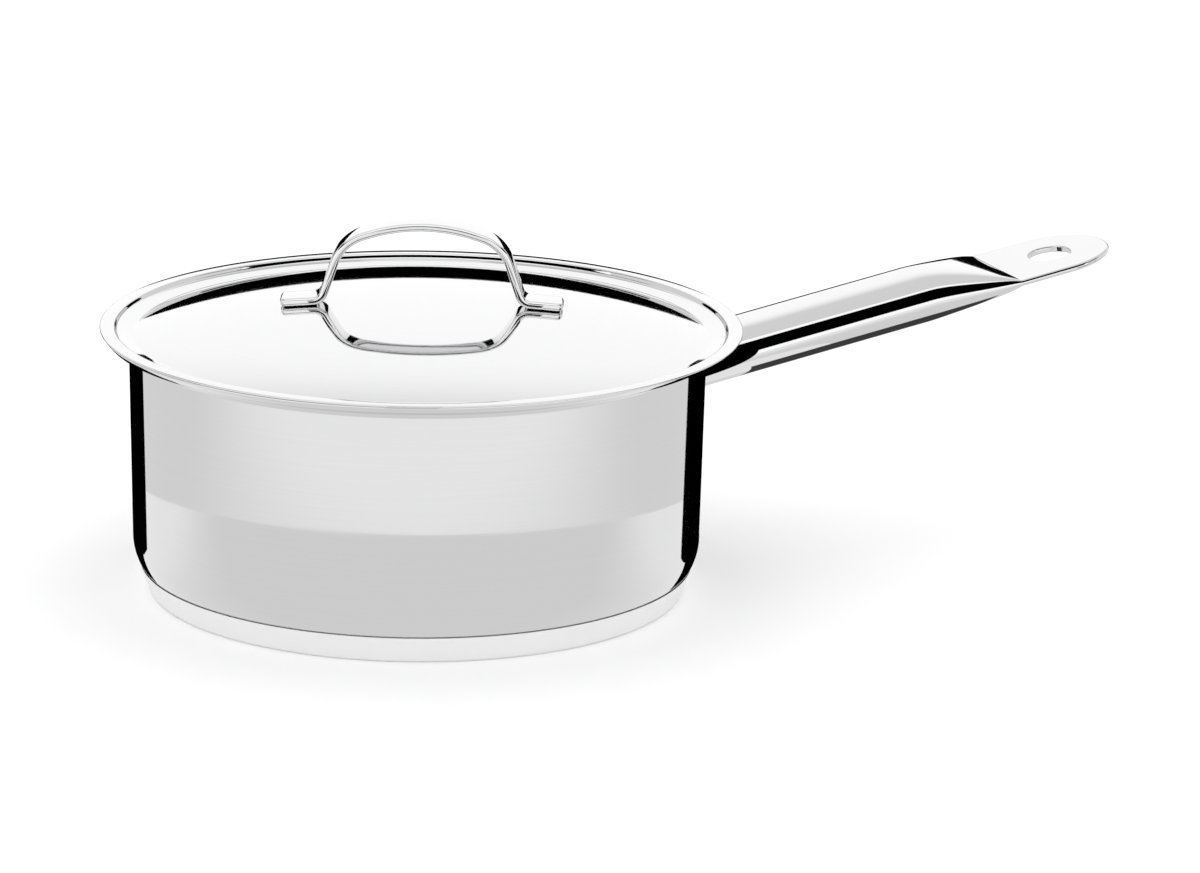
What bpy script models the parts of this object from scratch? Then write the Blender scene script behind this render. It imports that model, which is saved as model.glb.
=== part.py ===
"""A drawn stainless steel saucepan: sandwich base, oval tube handle and a loose steel lid.

The origin is the centre of the underside, +Z is up and the handle points along +X.
All sizes are in metres.
"""

import math

import bmesh
import bpy
from mathutils import Matrix, Vector

# Clearances
GAP = 0.0003  # left between two pieces that touch or are welded
LID_PLAY = 0.0012  # how far off centre the loose lid can lie, and lies
LID_CLEARANCE = 0.0001  # left between the lid's step and the rim at that play
ROOT_CLEARANCE = 0.0070  # between the top of the handle's root and the start of the flare

# Pan body
PAN_HEIGHT = 0.0925  # top edge of the rim above the table
PAN_RADIUS = 0.1001  # outside of the wall, just under the flare
PAN_WALL = 0.0008
WALL_DRAFT = math.radians(0.95)  # the wall leans in towards the base
RIM_FLARE = 0.0092  # how far the rim stands out from the wall
RIM_DEPTH = 0.0043  # how far below the rim the wall turns out into the ledge
LEDGE_BEND = 0.0028
LIP_WIDTH = 0.0018  # the lip that stands round the ledge, and holds the lid
LIP_DEPTH = 0.0020
LIP_BEND = 0.0018
CORNER_BEND = 0.0178  # large radius between the wall and the base
CORNER_RISE = 0.0063  # from the floor to where the wall's line meets the slanted foot
FOOT_INSET = 0.0065  # from the wall in to where the slanted foot meets the floor
FOOT_BEND = 0.0035

# Sandwich base: a pressed steel cap that encloses an aluminium disc
CAP_SHEET = 0.0006
CAP_GRIP = 0.0032  # how far the cap reaches up past the pan's floor
CAP_LEDGE = 0.0002  # thickness left at the cap's feathered rim
CAP_FOOT_INSET = 0.0004  # from the pan's foot in to the cap's foot
CAP_FOOT_BEND = 0.0016
CORE_THICKNESS = 0.0050
CORE_CHAMFER = 0.0012

# Lid, whose heights are taken from the top of its flange
LID_SHEET = 0.0007
LID_OVERHANG = 0.0019  # how far the lid's edge stands out past the rim
STEP_WIDTH = 0.0007
STEP_DROP = 0.00175
STEP_BEND = 0.0008
CHANNEL_WIDTH = 0.0057
CHANNEL_DROP = 0.00125
CHANNEL_BEND = 0.0025
DOME_RISE = 0.0112
DOME_SHOULDER = 0.30  # share of the rise that is held back for the steeper edge
LID_TURN = math.radians(-23.4)  # the way the loose lid is turned against the handle

# Lid handle: one bent strap
STRAP_WIDTH = 0.0125
STRAP_THICKNESS = 0.0028
STRAP_EDGE = 0.0011
STRAP_REACH = 0.0490  # from the middle of the lid to the tip of a foot
LEG_REACH = 0.0346
LEG_BEND = 0.0045
SHOULDER_REACH = 0.0278
SHOULDER_HEIGHT = 0.0207
SHOULDER_BEND = 0.0150
CROWN_RISE = 0.0097  # from the shoulders to the point that the arch is rounded under
CROWN_BEND = 0.0600

# Long handle: an oval tube, pressed flat at its outer end
HANDLE_TILT = math.radians(10.5)
HANDLE_LENGTH = 0.1705  # along its centre line, from the wall to the tip
TUBE_HALF_WIDTH = 0.0165
TUBE_HALF_HEIGHT = 0.0094
TUBE_WALL = 0.0012
TUBE_FLAT = 0.0020  # half width of the nearly flat strip along its top
PRESS_LENGTH = 0.0340  # the stretch where the tube flattens into the tab
PRESS_POWER = 1.7  # above 1, the height closes late and the width opens early
TAB_LENGTH = 0.0435
TIP_LENGTH = 0.0230  # the elliptical end of the tab
TIP_FLAT = 0.00006  # half width that is left flat at the very tip
HANG_HOLE_RADIUS = 0.0078
HANG_HOLE_SETBACK = 0.0220  # from the tip to the middle of the hole
HANG_HOLE_CHAMFER = 0.0004
CAVITY_TIP = 0.0006  # half height where the closing cavity ends

# Bracket inside the root of the tube
BRACKET_SHEET = 0.0015
BRACKET_LENGTH = 0.0280

# How finely curves are cut
TURN_STEPS = 64
ARC_STEP = math.radians(15)
DOME_STEPS = 11
CAP_WALL_STEPS = 4
OVAL_STEPS = 18
PRESS_STEPS = 12
TIP_STEPS = 10
BRACKET_SHARES = (0.25, 0.5, 0.75)  # rings across the bracket's end, as shares of its section
AXIS_MERGE = 0.00001  # joins the points that a turned profile puts on its axis
ARC_ROOM = 0.98  # the most of a side that the arcs at its two ends may take up
EDGE_SHARE = 0.3  # rounding of a sheet's cut edge, as a share of its thickness
SOFT_ANGLE = math.radians(35)  # faces that meet at less than this are shaded smooth
BEVEL_ANGLE = math.radians(50)
SEARCH_REACH = 0.05  # how far each way the wall is looked for along the handle
SEARCH_HALVINGS = 30

# Derived sizes
RIM_RADIUS = PAN_RADIUS + RIM_FLARE
FLARE_START = PAN_HEIGHT - RIM_DEPTH
LIP_SLOPE = math.atan2(LIP_DEPTH, LIP_WIDTH)
FOOT_RADIUS = PAN_RADIUS - FOOT_INSET
CORE_BOTTOM = CAP_SHEET + GAP
CORE_TOP = CORE_BOTTOM + CORE_THICKNESS
FLOOR_HEIGHT = CORE_TOP + GAP  # underside of the pan's floor
CORNER_HEIGHT = FLOOR_HEIGHT + CORNER_RISE
CAP_HEIGHT = FLOOR_HEIGHT + CAP_GRIP
CAP_FOOT_RADIUS = FOOT_RADIUS - CAP_FOOT_INSET
LID_SEAT = PAN_HEIGHT + GAP + LID_SHEET  # top of the lid's flange
LID_RADIUS = RIM_RADIUS + LID_OVERHANG
STEP_DEPTH = STEP_DROP - GAP  # how far the foot of the step reaches below the rim
MOUTH_RADIUS = (
    RIM_RADIUS - PAN_WALL * math.sin(LIP_SLOPE) - STEP_DEPTH / math.tan(LIP_SLOPE)
)  # inside of the rim at the foot of the step
STEP_FOOT_RADIUS = MOUTH_RADIUS - LID_SHEET - LID_PLAY - LID_CLEARANCE
VALLEY_RADIUS = STEP_FOOT_RADIUS - CHANNEL_WIDTH
VALLEY_HEIGHT = -STEP_DROP - CHANNEL_DROP
HANDLE_HEIGHT = FLARE_START - TUBE_HALF_HEIGHT / math.cos(HANDLE_TILT) - ROOT_CLEARANCE
TAB_START = HANDLE_LENGTH - TAB_LENGTH
PRESS_START = TAB_START - PRESS_LENGTH
TIP_START = HANDLE_LENGTH - TIP_LENGTH
HANG_HOLE_PLACE = HANDLE_LENGTH - HANG_HOLE_SETBACK


def clear_scene():
    for thing in list(bpy.data.objects):
        bpy.data.objects.remove(thing, do_unlink=True)


def new_collection(name):
    group = bpy.data.collections.new(name)
    bpy.context.scene.collection.children.link(group)
    return group


def metal(name, colour, roughness):
    made = bpy.data.materials.new(name)
    made.use_nodes = True
    shader = made.node_tree.nodes["Principled BSDF"]
    shader.inputs["Base Color"].default_value = (*colour, 1.0)
    shader.inputs["Metallic"].default_value = 1.0
    shader.inputs["Roughness"].default_value = roughness
    made.diffuse_color = (*colour, 1.0)
    return made


def sides_at(corners, index):
    """Directions from a corner to the one before it and the one after it."""
    here = Vector(corners[index][:2])
    back = Vector(corners[index - 1][:2]) - here
    ahead = Vector(corners[index + 1][:2]) - here
    return back, ahead


def fitted_tangents(corners):
    """How far each corner's arc reaches along its sides, shrunk where two arcs would meet."""
    wanted = [0.0] * len(corners)
    for index, (_, _, radius) in enumerate(corners):
        if radius:
            back, ahead = sides_at(corners, index)
            wanted[index] = radius / math.tan(back.angle(ahead) / 2)
    shares = [1.0] * len(corners)
    for index, (here, after) in enumerate(zip(corners, corners[1:])):
        length = (Vector(after[:2]) - Vector(here[:2])).length
        needed = wanted[index] + wanted[index + 1]
        share = min(1.0, ARC_ROOM * length / needed) if needed else 1.0
        shares[index] = min(shares[index], share)
        shares[index + 1] = min(shares[index + 1], share)
    return [tangent * share for tangent, share in zip(wanted, shares)]


def rounded(corners):
    """The path through corners of (x, z, radius), with an arc in place of each corner that has a radius."""
    path = []
    for index, tangent in enumerate(fitted_tangents(corners)):
        here = Vector(corners[index][:2])
        if tangent == 0:
            path.append(here)
            continue
        back, ahead = (side.normalized() for side in sides_at(corners, index))
        opening = back.angle(ahead)
        turn = math.pi - opening
        centre = here + (back + ahead).normalized() * tangent / math.cos(opening / 2)
        start = here + back * tangent - centre
        side = 1 if ahead.cross(back) > 0 else -1
        steps = max(2, math.ceil(turn / ARC_STEP))
        for step in range(steps + 1):
            swing = Matrix.Rotation(side * turn * step / steps, 2)
            path.append(centre + swing @ start)
    return path


def radius_at(path, height):
    """The radius of a turned path at a height, where the path runs from its top to its bottom."""
    radius = path[0].x
    for upper, lower in zip(path, path[1:]):
        if lower.y >= upper.y:
            continue
        if height > lower.y:
            share = min((height - lower.y) / (upper.y - lower.y), 1)
            return lower.x + (upper.x - lower.x) * share
        radius = lower.x
    return radius


def add_object(name, mesh, material, group):
    made = bpy.data.objects.new(name, mesh)
    mesh.materials.append(material)
    group.objects.link(made)
    return made


def turned(name, path, material, group):
    """A turned shape: the path at +X, run round Z. It goes down the outer side, from top to bottom."""
    mesh = bpy.data.meshes.new(name)
    edges = [(index, index + 1) for index in range(len(path) - 1)]
    mesh.from_pydata([(point.x, 0, point.y) for point in path], edges, [])
    made = add_object(name, mesh, material, group)
    screw = made.modifiers.new("Turn", "SCREW")
    screw.axis = "Z"
    screw.angle = math.tau
    screw.steps = TURN_STEPS
    screw.render_steps = TURN_STEPS
    screw.use_merge_vertices = True
    screw.merge_threshold = AXIS_MERGE
    screw.use_smooth_shade = True
    return made


def thicken(made, thickness, offset):
    sheet = made.modifiers.new("Sheet", "SOLIDIFY")
    sheet.thickness = thickness
    sheet.offset = offset
    sheet.use_even_offset = True


def soften(made, width, segments):
    edge = made.modifiers.new("Edge", "BEVEL")
    edge.width = width
    edge.segments = segments
    edge.limit_method = "ANGLE"
    edge.angle_limit = BEVEL_ANGLE


def loft(name, rings, material, group):
    """A closed skin over rings of points, with a fan at each end."""
    mesh = bpy.data.meshes.new(name)
    shape = bmesh.new()
    rows = [[shape.verts.new(point) for point in ring] for ring in rings]
    for near, far in zip(rows, rows[1:]):
        for index in range(len(near)):
            after = (index + 1) % len(near)
            shape.faces.new((near[index], near[after], far[after], far[index]))
    for row in (rows[0], rows[-1]):
        middle = shape.verts.new(sum((vert.co for vert in row), Vector()) / len(row))
        for index, vert in enumerate(row):
            shape.faces.new((vert, row[(index + 1) % len(row)], middle))
    bmesh.ops.recalc_face_normals(shape, faces=shape.faces)
    for face in shape.faces:
        face.smooth = True
    shape.to_mesh(mesh)
    shape.free()
    mesh.set_sharp_from_angle(angle=SOFT_ANGLE)
    return add_object(name, mesh, material, group)


# ---- pan ----


def pan_outside():
    """The pan's outer surface, from the rim down to the middle of the floor."""
    lean = math.tan(WALL_DRAFT)
    rim_height = PAN_HEIGHT - PAN_WALL * math.cos(LIP_SLOPE)
    corner_radius = PAN_RADIUS - (FLARE_START - CORNER_HEIGHT) * lean
    return rounded(
        [
            (RIM_RADIUS, rim_height, 0),
            (RIM_RADIUS - LIP_WIDTH, rim_height - LIP_DEPTH, LIP_BEND),
            (PAN_RADIUS, FLARE_START, LEDGE_BEND),
            (corner_radius, CORNER_HEIGHT, CORNER_BEND),
            (FOOT_RADIUS, FLOOR_HEIGHT, FOOT_BEND),
            (0, FLOOR_HEIGHT, 0),
        ]
    )


def build_pan(group, steel):
    body = turned("pan_body", pan_outside(), steel, group)
    thicken(body, PAN_WALL, -1)
    soften(body, PAN_WALL * EDGE_SHARE, 2)


def cap_outside():
    """The cap's outer side, from its rim down to the middle of its underside."""
    rim_radius = radius_at(pan_outside(), CAP_HEIGHT) + GAP + CAP_LEDGE
    return rounded([(rim_radius, CAP_HEIGHT, 0), (CAP_FOOT_RADIUS, 0, CAP_FOOT_BEND), (0, 0, 0)])


def cap_inside():
    """The cap's inner side, from the middle of its floor up to its rim, pressed against the pan."""
    outside = cap_outside()
    pan = pan_outside()
    slope = math.atan2(outside[0].x - CAP_FOOT_RADIUS, CAP_HEIGHT)
    sheet = CAP_SHEET / math.cos(slope)
    foot = CAP_FOOT_RADIUS + CAP_SHEET * math.tan(slope) - sheet
    side = []
    for step in range(CAP_WALL_STEPS + 1):
        height = FLOOR_HEIGHT + CAP_GRIP * step / CAP_WALL_STEPS
        against_sheet = radius_at(outside, height) - sheet
        against_pan = radius_at(pan, height) + GAP / math.cos(slope)
        side.append(Vector((max(against_sheet, against_pan), height)))
    below = rounded(
        [(0, CAP_SHEET, 0), (foot, CAP_SHEET, CAP_FOOT_BEND - CAP_SHEET), (side[0].x, side[0].y, 0)]
    )
    return below + side[1:]


def build_base(group, steel, aluminium):
    turned("base_cap", cap_inside() + cap_outside(), steel, group)
    bottom = radius_at(cap_outside(), CORE_BOTTOM + CORE_CHAMFER) - CAP_SHEET - 2 * GAP
    core = rounded(
        [
            (0, CORE_TOP, 0),
            (min(FOOT_RADIUS, bottom), CORE_TOP, 0),
            (bottom, CORE_BOTTOM + CORE_CHAMFER, 0),
            (bottom - CORE_CHAMFER, CORE_BOTTOM, 0),
            (0, CORE_BOTTOM, 0),
        ]
    )
    turned("base_core", core, aluminium, group)


# ---- lid ----


def dome_height(radius):
    """The dome's top surface at a radius, from the top of the flange."""
    share = (radius / VALLEY_RADIUS) ** 2
    fall = (1 - DOME_SHOULDER) * share + DOME_SHOULDER * share * share
    return VALLEY_HEIGHT + DOME_RISE * (1 - fall)


def dome_slope(radius):
    """The angle at which the dome's top surface falls away at a radius."""
    share = (radius / VALLEY_RADIUS) ** 2
    steepness = (1 - DOME_SHOULDER) + 2 * DOME_SHOULDER * share
    return math.atan(2 * radius * DOME_RISE * steepness / VALLEY_RADIUS**2)


def lid_outside():
    dome = [VALLEY_RADIUS * step / DOME_STEPS for step in range(DOME_STEPS)]
    return rounded(
        [(radius, dome_height(radius), 0) for radius in dome]
        + [
            (VALLEY_RADIUS, VALLEY_HEIGHT, CHANNEL_BEND),
            (STEP_FOOT_RADIUS, -STEP_DROP, STEP_BEND),
            (STEP_FOOT_RADIUS + STEP_WIDTH, 0, STEP_BEND),
            (LID_RADIUS, 0, 0),
        ]
    )


def build_lid_plate(group, steel, axis):
    plate = turned("lid_plate", lid_outside(), steel, group)
    thicken(plate, LID_SHEET, -1)
    soften(plate, LID_SHEET * EDGE_SHARE, 2)
    plate.parent = axis


def strap_path():
    """The middle of the strap seen from the side, from one foot over the arch to the other."""

    def foot_height(reach):
        return dome_height(reach) + (GAP + STRAP_THICKNESS / 2) / math.cos(dome_slope(reach))

    ankle = foot_height(LEG_REACH)
    half = [
        (STRAP_REACH, foot_height(STRAP_REACH), 0),
        (LEG_REACH, ankle, LEG_BEND),
        (SHOULDER_REACH, ankle + SHOULDER_HEIGHT, SHOULDER_BEND),
    ]
    crown = [(0, ankle + SHOULDER_HEIGHT + CROWN_RISE, CROWN_BEND)]
    return rounded(half + crown + [(-x, z, radius) for x, z, radius in reversed(half)])


def build_lid_handle(group, steel, axis):
    path = strap_path()
    mesh = bpy.data.meshes.new("lid_handle")
    sides = (STRAP_WIDTH / 2, -STRAP_WIDTH / 2)
    points = [(point.x, side, point.y) for point in path for side in sides]
    faces = [(2 * i, 2 * i + 1, 2 * i + 3, 2 * i + 2) for i in range(len(path) - 1)]
    mesh.from_pydata(points, [], faces)
    strap = add_object("lid_handle", mesh, steel, group)
    thicken(strap, STRAP_THICKNESS, 0)
    soften(strap, STRAP_EDGE, 3)
    strap.parent = axis


def build_lid(group, steel):
    """The lid and its handle hang on one axis, which lies off centre by the lid's play."""
    axis = bpy.data.objects.new("lid_axis", None)
    axis.location = (LID_PLAY * math.cos(LID_TURN), LID_PLAY * math.sin(LID_TURN), LID_SEAT)
    axis.rotation_euler.z = LID_TURN
    group.objects.link(axis)
    build_lid_plate(group, steel, axis)
    build_lid_handle(group, steel, axis)


# ---- handle ----


def oval(half_width, half_height, flat):
    """Points (across, up) round a section with a straight top and bottom and two half ellipses."""
    points = []
    for side in (1, -1):
        for step in range(OVAL_STEPS + 1):
            angle = math.pi * (step / OVAL_STEPS - 0.5)
            across = side * (flat + (half_width - flat) * math.cos(angle))
            points.append((across, side * half_height * math.sin(angle)))
    return points


def girth(half_width, half_height):
    """Ramanujan's length of an ellipse."""
    total = 3 * (half_width + half_height)
    return math.pi * (
        total - math.sqrt((3 * half_width + half_height) * (half_width + 3 * half_height))
    )


def tab_half_width():
    """Half the width of the tube once it is pressed flat, which keeps its girth."""
    middle = girth(TUBE_HALF_WIDTH - TUBE_WALL / 2, TUBE_HALF_HEIGHT - TUBE_WALL / 2)
    return middle / 4 + TUBE_WALL / 2


def section(along):
    """(half width, half height, flat) of the handle at a distance from the wall."""
    pressed = min(max((along - PRESS_START) / PRESS_LENGTH, 0), 1)
    smooth = pressed * pressed * (3 - 2 * pressed)
    half_height = TUBE_HALF_HEIGHT + (TUBE_WALL - TUBE_HALF_HEIGHT) * pressed**PRESS_POWER
    half_width = TUBE_HALF_WIDTH + (tab_half_width() - TUBE_HALF_WIDTH) * smooth
    flat = TUBE_FLAT + (half_width - half_height - TUBE_FLAT) * smooth
    if along > TIP_START:
        beyond = (along - TIP_START) / TIP_LENGTH
        half_width *= math.sqrt(max(1 - beyond * beyond, 0))
        half_width = max(half_width, TUBE_WALL + TIP_FLAT)
        flat = half_width - TUBE_WALL
    return half_width, half_height, flat


def handle_frame():
    """The handle's own axes: along it, across it, up from it, with its origin on the pan wall."""
    along = Vector((math.cos(HANDLE_TILT), 0, math.sin(HANDLE_TILT)))
    across = Vector((0, 1, 0))
    up = along.cross(across)
    start = Vector((radius_at(pan_outside(), HANDLE_HEIGHT), 0, HANDLE_HEIGHT))
    turn = Matrix((along, across, up)).transposed().to_4x4()
    return Matrix.Translation(start) @ turn


def reach_wall(frame, across, up, offset):
    """How far along the handle the point (across, up) stands when it is offset from the pan's wall."""
    pan = pan_outside()
    low, high = -SEARCH_REACH, SEARCH_REACH
    for _ in range(SEARCH_HALVINGS):
        middle = (low + high) / 2
        point = frame @ Vector((middle, across, up))
        if math.hypot(point.x, point.y) < radius_at(pan, point.z) + offset:
            low = middle
        else:
            high = middle
    return high


def root_ring(frame, shape, offset):
    return [Vector((reach_wall(frame, across, up, offset), across, up)) for across, up in shape]


def ring(shape, along):
    return [Vector((along, across, up)) for across, up in shape]


def grown(half_width, half_height, flat, growth):
    return half_width + growth, half_height + growth, flat


def pressed_stations():
    return [PRESS_START + PRESS_LENGTH * step / PRESS_STEPS for step in range(PRESS_STEPS + 1)]


def tip_stations():
    """Distances along the tab's end, closer together towards the tip."""
    turns = [math.pi / 2 * step / TIP_STEPS for step in range(TIP_STEPS + 1)]
    return [TIP_START + TIP_LENGTH * math.sin(turn) for turn in turns]


def build_handle_tube(group, steel, frame, cutters):
    tube = (TUBE_HALF_WIDTH, TUBE_HALF_HEIGHT, TUBE_FLAT)
    inner = grown(*tube, -TUBE_WALL)
    hollow = []
    for along in pressed_stations():
        half_width, half_height, flat = section(along)
        if half_height - TUBE_WALL > CAVITY_TIP:
            bore = grown(half_width, half_height, min(flat, half_width - 2 * TUBE_WALL), -TUBE_WALL)
            hollow.append(ring(oval(*bore), along))
    outside = [ring(oval(*section(along)), along) for along in pressed_stations() + tip_stations()]
    rings = hollow[::-1] + [root_ring(frame, oval(*inner), GAP)]
    rings += [root_ring(frame, oval(*tube), GAP)] + outside
    handle = loft("handle_tube", rings, steel, group)
    handle.matrix_world = frame
    cut_hang_hole(handle, frame, cutters)


def cut_hang_hole(handle, frame, cutters):
    """A round hole through the tab, with a small chamfer at both faces."""
    face = TUBE_WALL
    above = 4 * TUBE_WALL
    flared = HANG_HOLE_RADIUS + above - face + HANG_HOLE_CHAMFER
    path = [
        Vector((0, above)),
        Vector((flared, above)),
        Vector((HANG_HOLE_RADIUS, face - HANG_HOLE_CHAMFER)),
        Vector((HANG_HOLE_RADIUS, HANG_HOLE_CHAMFER - face)),
        Vector((flared, -above)),
        Vector((0, -above)),
    ]
    cutter = turned("hang_hole_cutter", path, handle.data.materials[0], cutters)
    cutter.matrix_world = frame @ Matrix.Translation((HANG_HOLE_PLACE, 0, 0))
    cutter.hide_render = True
    cutter.display_type = "WIRE"
    hole = handle.modifiers.new("Hanging hole", "BOOLEAN")
    hole.operation = "DIFFERENCE"
    hole.solver = "EXACT"
    hole.object = cutter


def build_bracket(group, steel, frame):
    """A pressed cup that is welded to the wall and holds the tube from inside."""
    outer = grown(TUBE_HALF_WIDTH, TUBE_HALF_HEIGHT, TUBE_FLAT, -TUBE_WALL - GAP)
    inner = grown(*outer, -BRACKET_SHEET)

    def scaled(shape, share):
        return [(across * share, up * share) for across, up in shape]

    back = [root_ring(frame, scaled(oval(*outer), share), GAP) for share in BRACKET_SHARES]
    front_offset = GAP + BRACKET_SHEET
    front = [
        root_ring(frame, scaled(oval(*inner), share), front_offset) for share in BRACKET_SHARES
    ]
    rings = back + [root_ring(frame, oval(*outer), GAP)]
    rings += [ring(oval(*outer), BRACKET_LENGTH), ring(oval(*inner), BRACKET_LENGTH)]
    rings += [root_ring(frame, oval(*inner), front_offset)] + front[::-1]
    bracket = loft("handle_bracket", rings, steel, group)
    bracket.matrix_world = frame


def main():
    clear_scene()
    parts = new_collection("saucepan")
    cutters = new_collection("cutters")
    polished = metal("polished_steel", (0.80, 0.80, 0.81), 0.08)
    satin = metal("satin_steel", (0.62, 0.62, 0.63), 0.30)
    aluminium = metal("aluminium", (0.76, 0.77, 0.78), 0.40)
    build_pan(parts, polished)
    build_base(parts, polished, aluminium)
    build_lid(parts, polished)
    frame = handle_frame()
    build_handle_tube(parts, polished, frame, cutters)
    build_bracket(parts, satin, frame)


main()
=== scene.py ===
"""Steel saucepan with a loose steel lid: fine surfaces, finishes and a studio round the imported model.

The steel mirrors its surroundings, so much of its look is made by the studio's cards and black flags. Only
reflections show them. They also stand in for the floor, which is itself hidden from reflections. They are
placed for the camera's side, and mirror less naturally from other sides.

The origin is the centre of the underside, +Z is up and the long handle points along +X. Sizes are in metres.
"""

import math

import bmesh
import bpy
from bpy.props import FloatProperty, FloatVectorProperty, IntProperty, PointerProperty
from bpy.types import Operator, Panel, PropertyGroup
from mathutils import Matrix, Vector


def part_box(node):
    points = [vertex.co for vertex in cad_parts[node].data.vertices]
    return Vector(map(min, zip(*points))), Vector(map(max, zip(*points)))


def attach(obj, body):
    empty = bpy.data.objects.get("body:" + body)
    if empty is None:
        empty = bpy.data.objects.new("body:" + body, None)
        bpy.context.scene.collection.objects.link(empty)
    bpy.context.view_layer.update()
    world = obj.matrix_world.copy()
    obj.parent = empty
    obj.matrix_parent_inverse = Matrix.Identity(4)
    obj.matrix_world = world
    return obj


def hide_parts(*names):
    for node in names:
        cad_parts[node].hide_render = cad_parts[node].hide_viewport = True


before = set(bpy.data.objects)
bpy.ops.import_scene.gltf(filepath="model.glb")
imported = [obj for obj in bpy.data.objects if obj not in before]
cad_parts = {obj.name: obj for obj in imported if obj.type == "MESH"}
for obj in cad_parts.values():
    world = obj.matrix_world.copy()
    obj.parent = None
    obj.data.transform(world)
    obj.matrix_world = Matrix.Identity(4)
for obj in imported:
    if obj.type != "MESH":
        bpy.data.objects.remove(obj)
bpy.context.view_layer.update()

bl_info = {
    "name": "Steel Saucepan",
    "version": (1, 0, 0),
    "blender": (4, 5, 0),
    "location": "View3D > Sidebar > Saucepan",
    "description": "Builds a polished steel saucepan, its lid and a studio that it mirrors",
    "category": "Object",
}

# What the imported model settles
PAN_LOW, PAN_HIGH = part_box("pan_body")
CAP_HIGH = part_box("base_cap")[1]
LID_LOW, LID_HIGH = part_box("lid_plate")
TUBE_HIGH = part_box("handle_tube")[1]
LID_MIDDLE = (LID_LOW + LID_HIGH) / 2

# Fineness of the surfaces
TURN_STEPS = 256
ARC_STEP = math.radians(4)
SUPPORT = 0.0003  # a point this far from each arc keeps the flat beside it flat
MERGE = 0.0000005
EDGE_STEPS = 6  # round the edge of a sheet
BEND_STEPS = 8  # round each corner of a bar or of the hanging hole
DOME_RINGS = 48
OVAL_STEPS = 30  # over each half of the tube's section
PRESS_STEPS = 48  # along the stretch where the tube flattens
TIP_STEPS = 40  # round the end of the tab
FOOT_STEPS = 12  # round the corners of the strap's feet
CAP_STEPS = 8  # up the cap's inner side
RING_STEPS = 10  # across each pressed ring
HOLE_TURN = math.radians(84)  # how far round the hanging hole's edge the cut follows it
ROOT_BAND = 0.0006  # a short even band behind the tube's root
SEARCH_REACH = 0.05  # how far either way the wall is looked for along the handle
SEARCH_STEPS = 30
GAP = 0.0003  # left between pieces that touch
SHARP = math.radians(40)  # faces that meet at more than this keep a hard edge

PRESS_LEAD = (0.002, 0.0004)  # stations just before the tube starts to flatten
FACES_DOWN = -0.9  # the Z of a normal below this is the flat underside
EVEN = 0.99999  # the Z of a normal above this, on the tab, is its flat face
CORNER_SHARE = 0.98  # of the half height, the most that a strap's rounded edge takes
BEAD_GROWTH = 0.3  # how far out the bead's path lies, as a share of the bead
BEAD_LIFT = 0.35  # how far off the wall it lies, as a share of the bead
SPOTS_ACROSS, SPOTS_UP = 0.5, 0.4  # places of the bracket's spots, as shares of the tube

# Grain of the finishes: how close its lines lie, and how slowly they change along their length
LATHE_GRAIN = (1400.0, 1.5)
BAR_GRAIN = (1600.0, 12.0)
BRUSH_GRAIN = (2600.0, 3.0)
CUT_GRAIN = (1800.0, 1.0)
HAZE_SCALE = 22.0
HEAT_SCALE = 260.0
LEAST_ROUGHNESS = 0.01

# The camera
AIM = Vector((0.0588, -0.0241, 0.0539))  # the point that it looks at
HEADING = math.radians(23.37)  # from +Y towards +X
DIP = math.radians(15.17)
ROLL = math.radians(1.01)
SENSOR_WIDTH = 36.0
NEAREST, FARTHEST = 0.05, 50.0

# Level directions from the pan's axis: to the camera, and to its right
TOWARDS = Vector((-0.3967, -0.9180))
RIGHT = Vector((0.9180, -0.3967))

# The floor. Cards that lie on it stand clear of one another.
FLOOR_REACH = 6.0
FLOOR_FADE = (0.0, 0.3)
NEAR_LEVEL = 0.0002
NEAR_FADE = (0.0, 0.1)
NEAR_SWING = 75  # degrees to each side of the way to the camera
NEAR_STEPS = 60
FLAG_LEVEL = 0.0004
# The black disc under the base is a painted contact shadow, seen only in reflections.
BASE_SHADOW_LEVEL = 0.0006
BASE_SHADOW_RADIUS = 0.0946

# The soft light behind the pan. Swings and climbs are in degrees.
LID_LEVEL = 0.1  # the middle of every card that is bent over the lid
SOFT_REACH = 2.0
SOFT_SWINGS = (80, 280)
SOFT_CLIMBS = (4, 88)
SOFT_CLIMB = math.radians(16)
SOFT_SPREAD = math.radians(40)
SOFT_CORE = 0.985  # where its brightest part ends, as a share of its reach

# The black flags. Swings and climbs are in degrees.
SIDE_FLOOR_SWINGS = (69.5, 89.0)
SIDE_FLOOR_START = 0.92  # as a share of the wall's radius
SIDE_FLOOR_LENGTH = 0.08
FENCE_SWING = 96
FENCE_REACHES = (0.001, 0.0375)  # from the wall
BACK_REACH = 0.60
BACK_TURNS = range(138, 223, 4)
BACK_HEIGHTS = (0.02, 0.155)
FRONT_REACH = 1.0
FRONT_FLAGS = (
    ("front_flag", (-110, 110), (24, 36)),
    ("low_front_flag", (-9, 9), (5, 20)),
)
ARCH_REACH = 0.1
ARCH_CLIMBS = (16, 72)
ARCH_STEPS = 12
ARCH_ALONG = (0.03, 0.25)
UNDER_START = 0.03
UNDER_DROP = 0.02
UNDER_HALF_WIDTH = 0.017


# ---- settings ----


def length(name, description, default):
    return FloatProperty(
        name=name, description=description, default=default, min=0.0, unit="LENGTH", precision=5
    )


def angle(name, description, degrees):
    return FloatProperty(
        name=name, description=description, default=math.radians(degrees), unit="ROTATION"
    )


def share(name, description, default, most=1.0):
    return FloatProperty(
        name=name, description=description, default=default, min=0.0, max=most, subtype="FACTOR"
    )


def colour(name, description, default):
    return FloatVectorProperty(
        name=name, description=description, default=default, size=3, min=0.0, max=1.0, subtype="COLOR"
    )


def brightness(name, description, default):
    return FloatProperty(name=name, description=description, default=default, min=0.0)


def count(name, description, default):
    return IntProperty(name=name, description=description, default=default, min=1)


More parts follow.
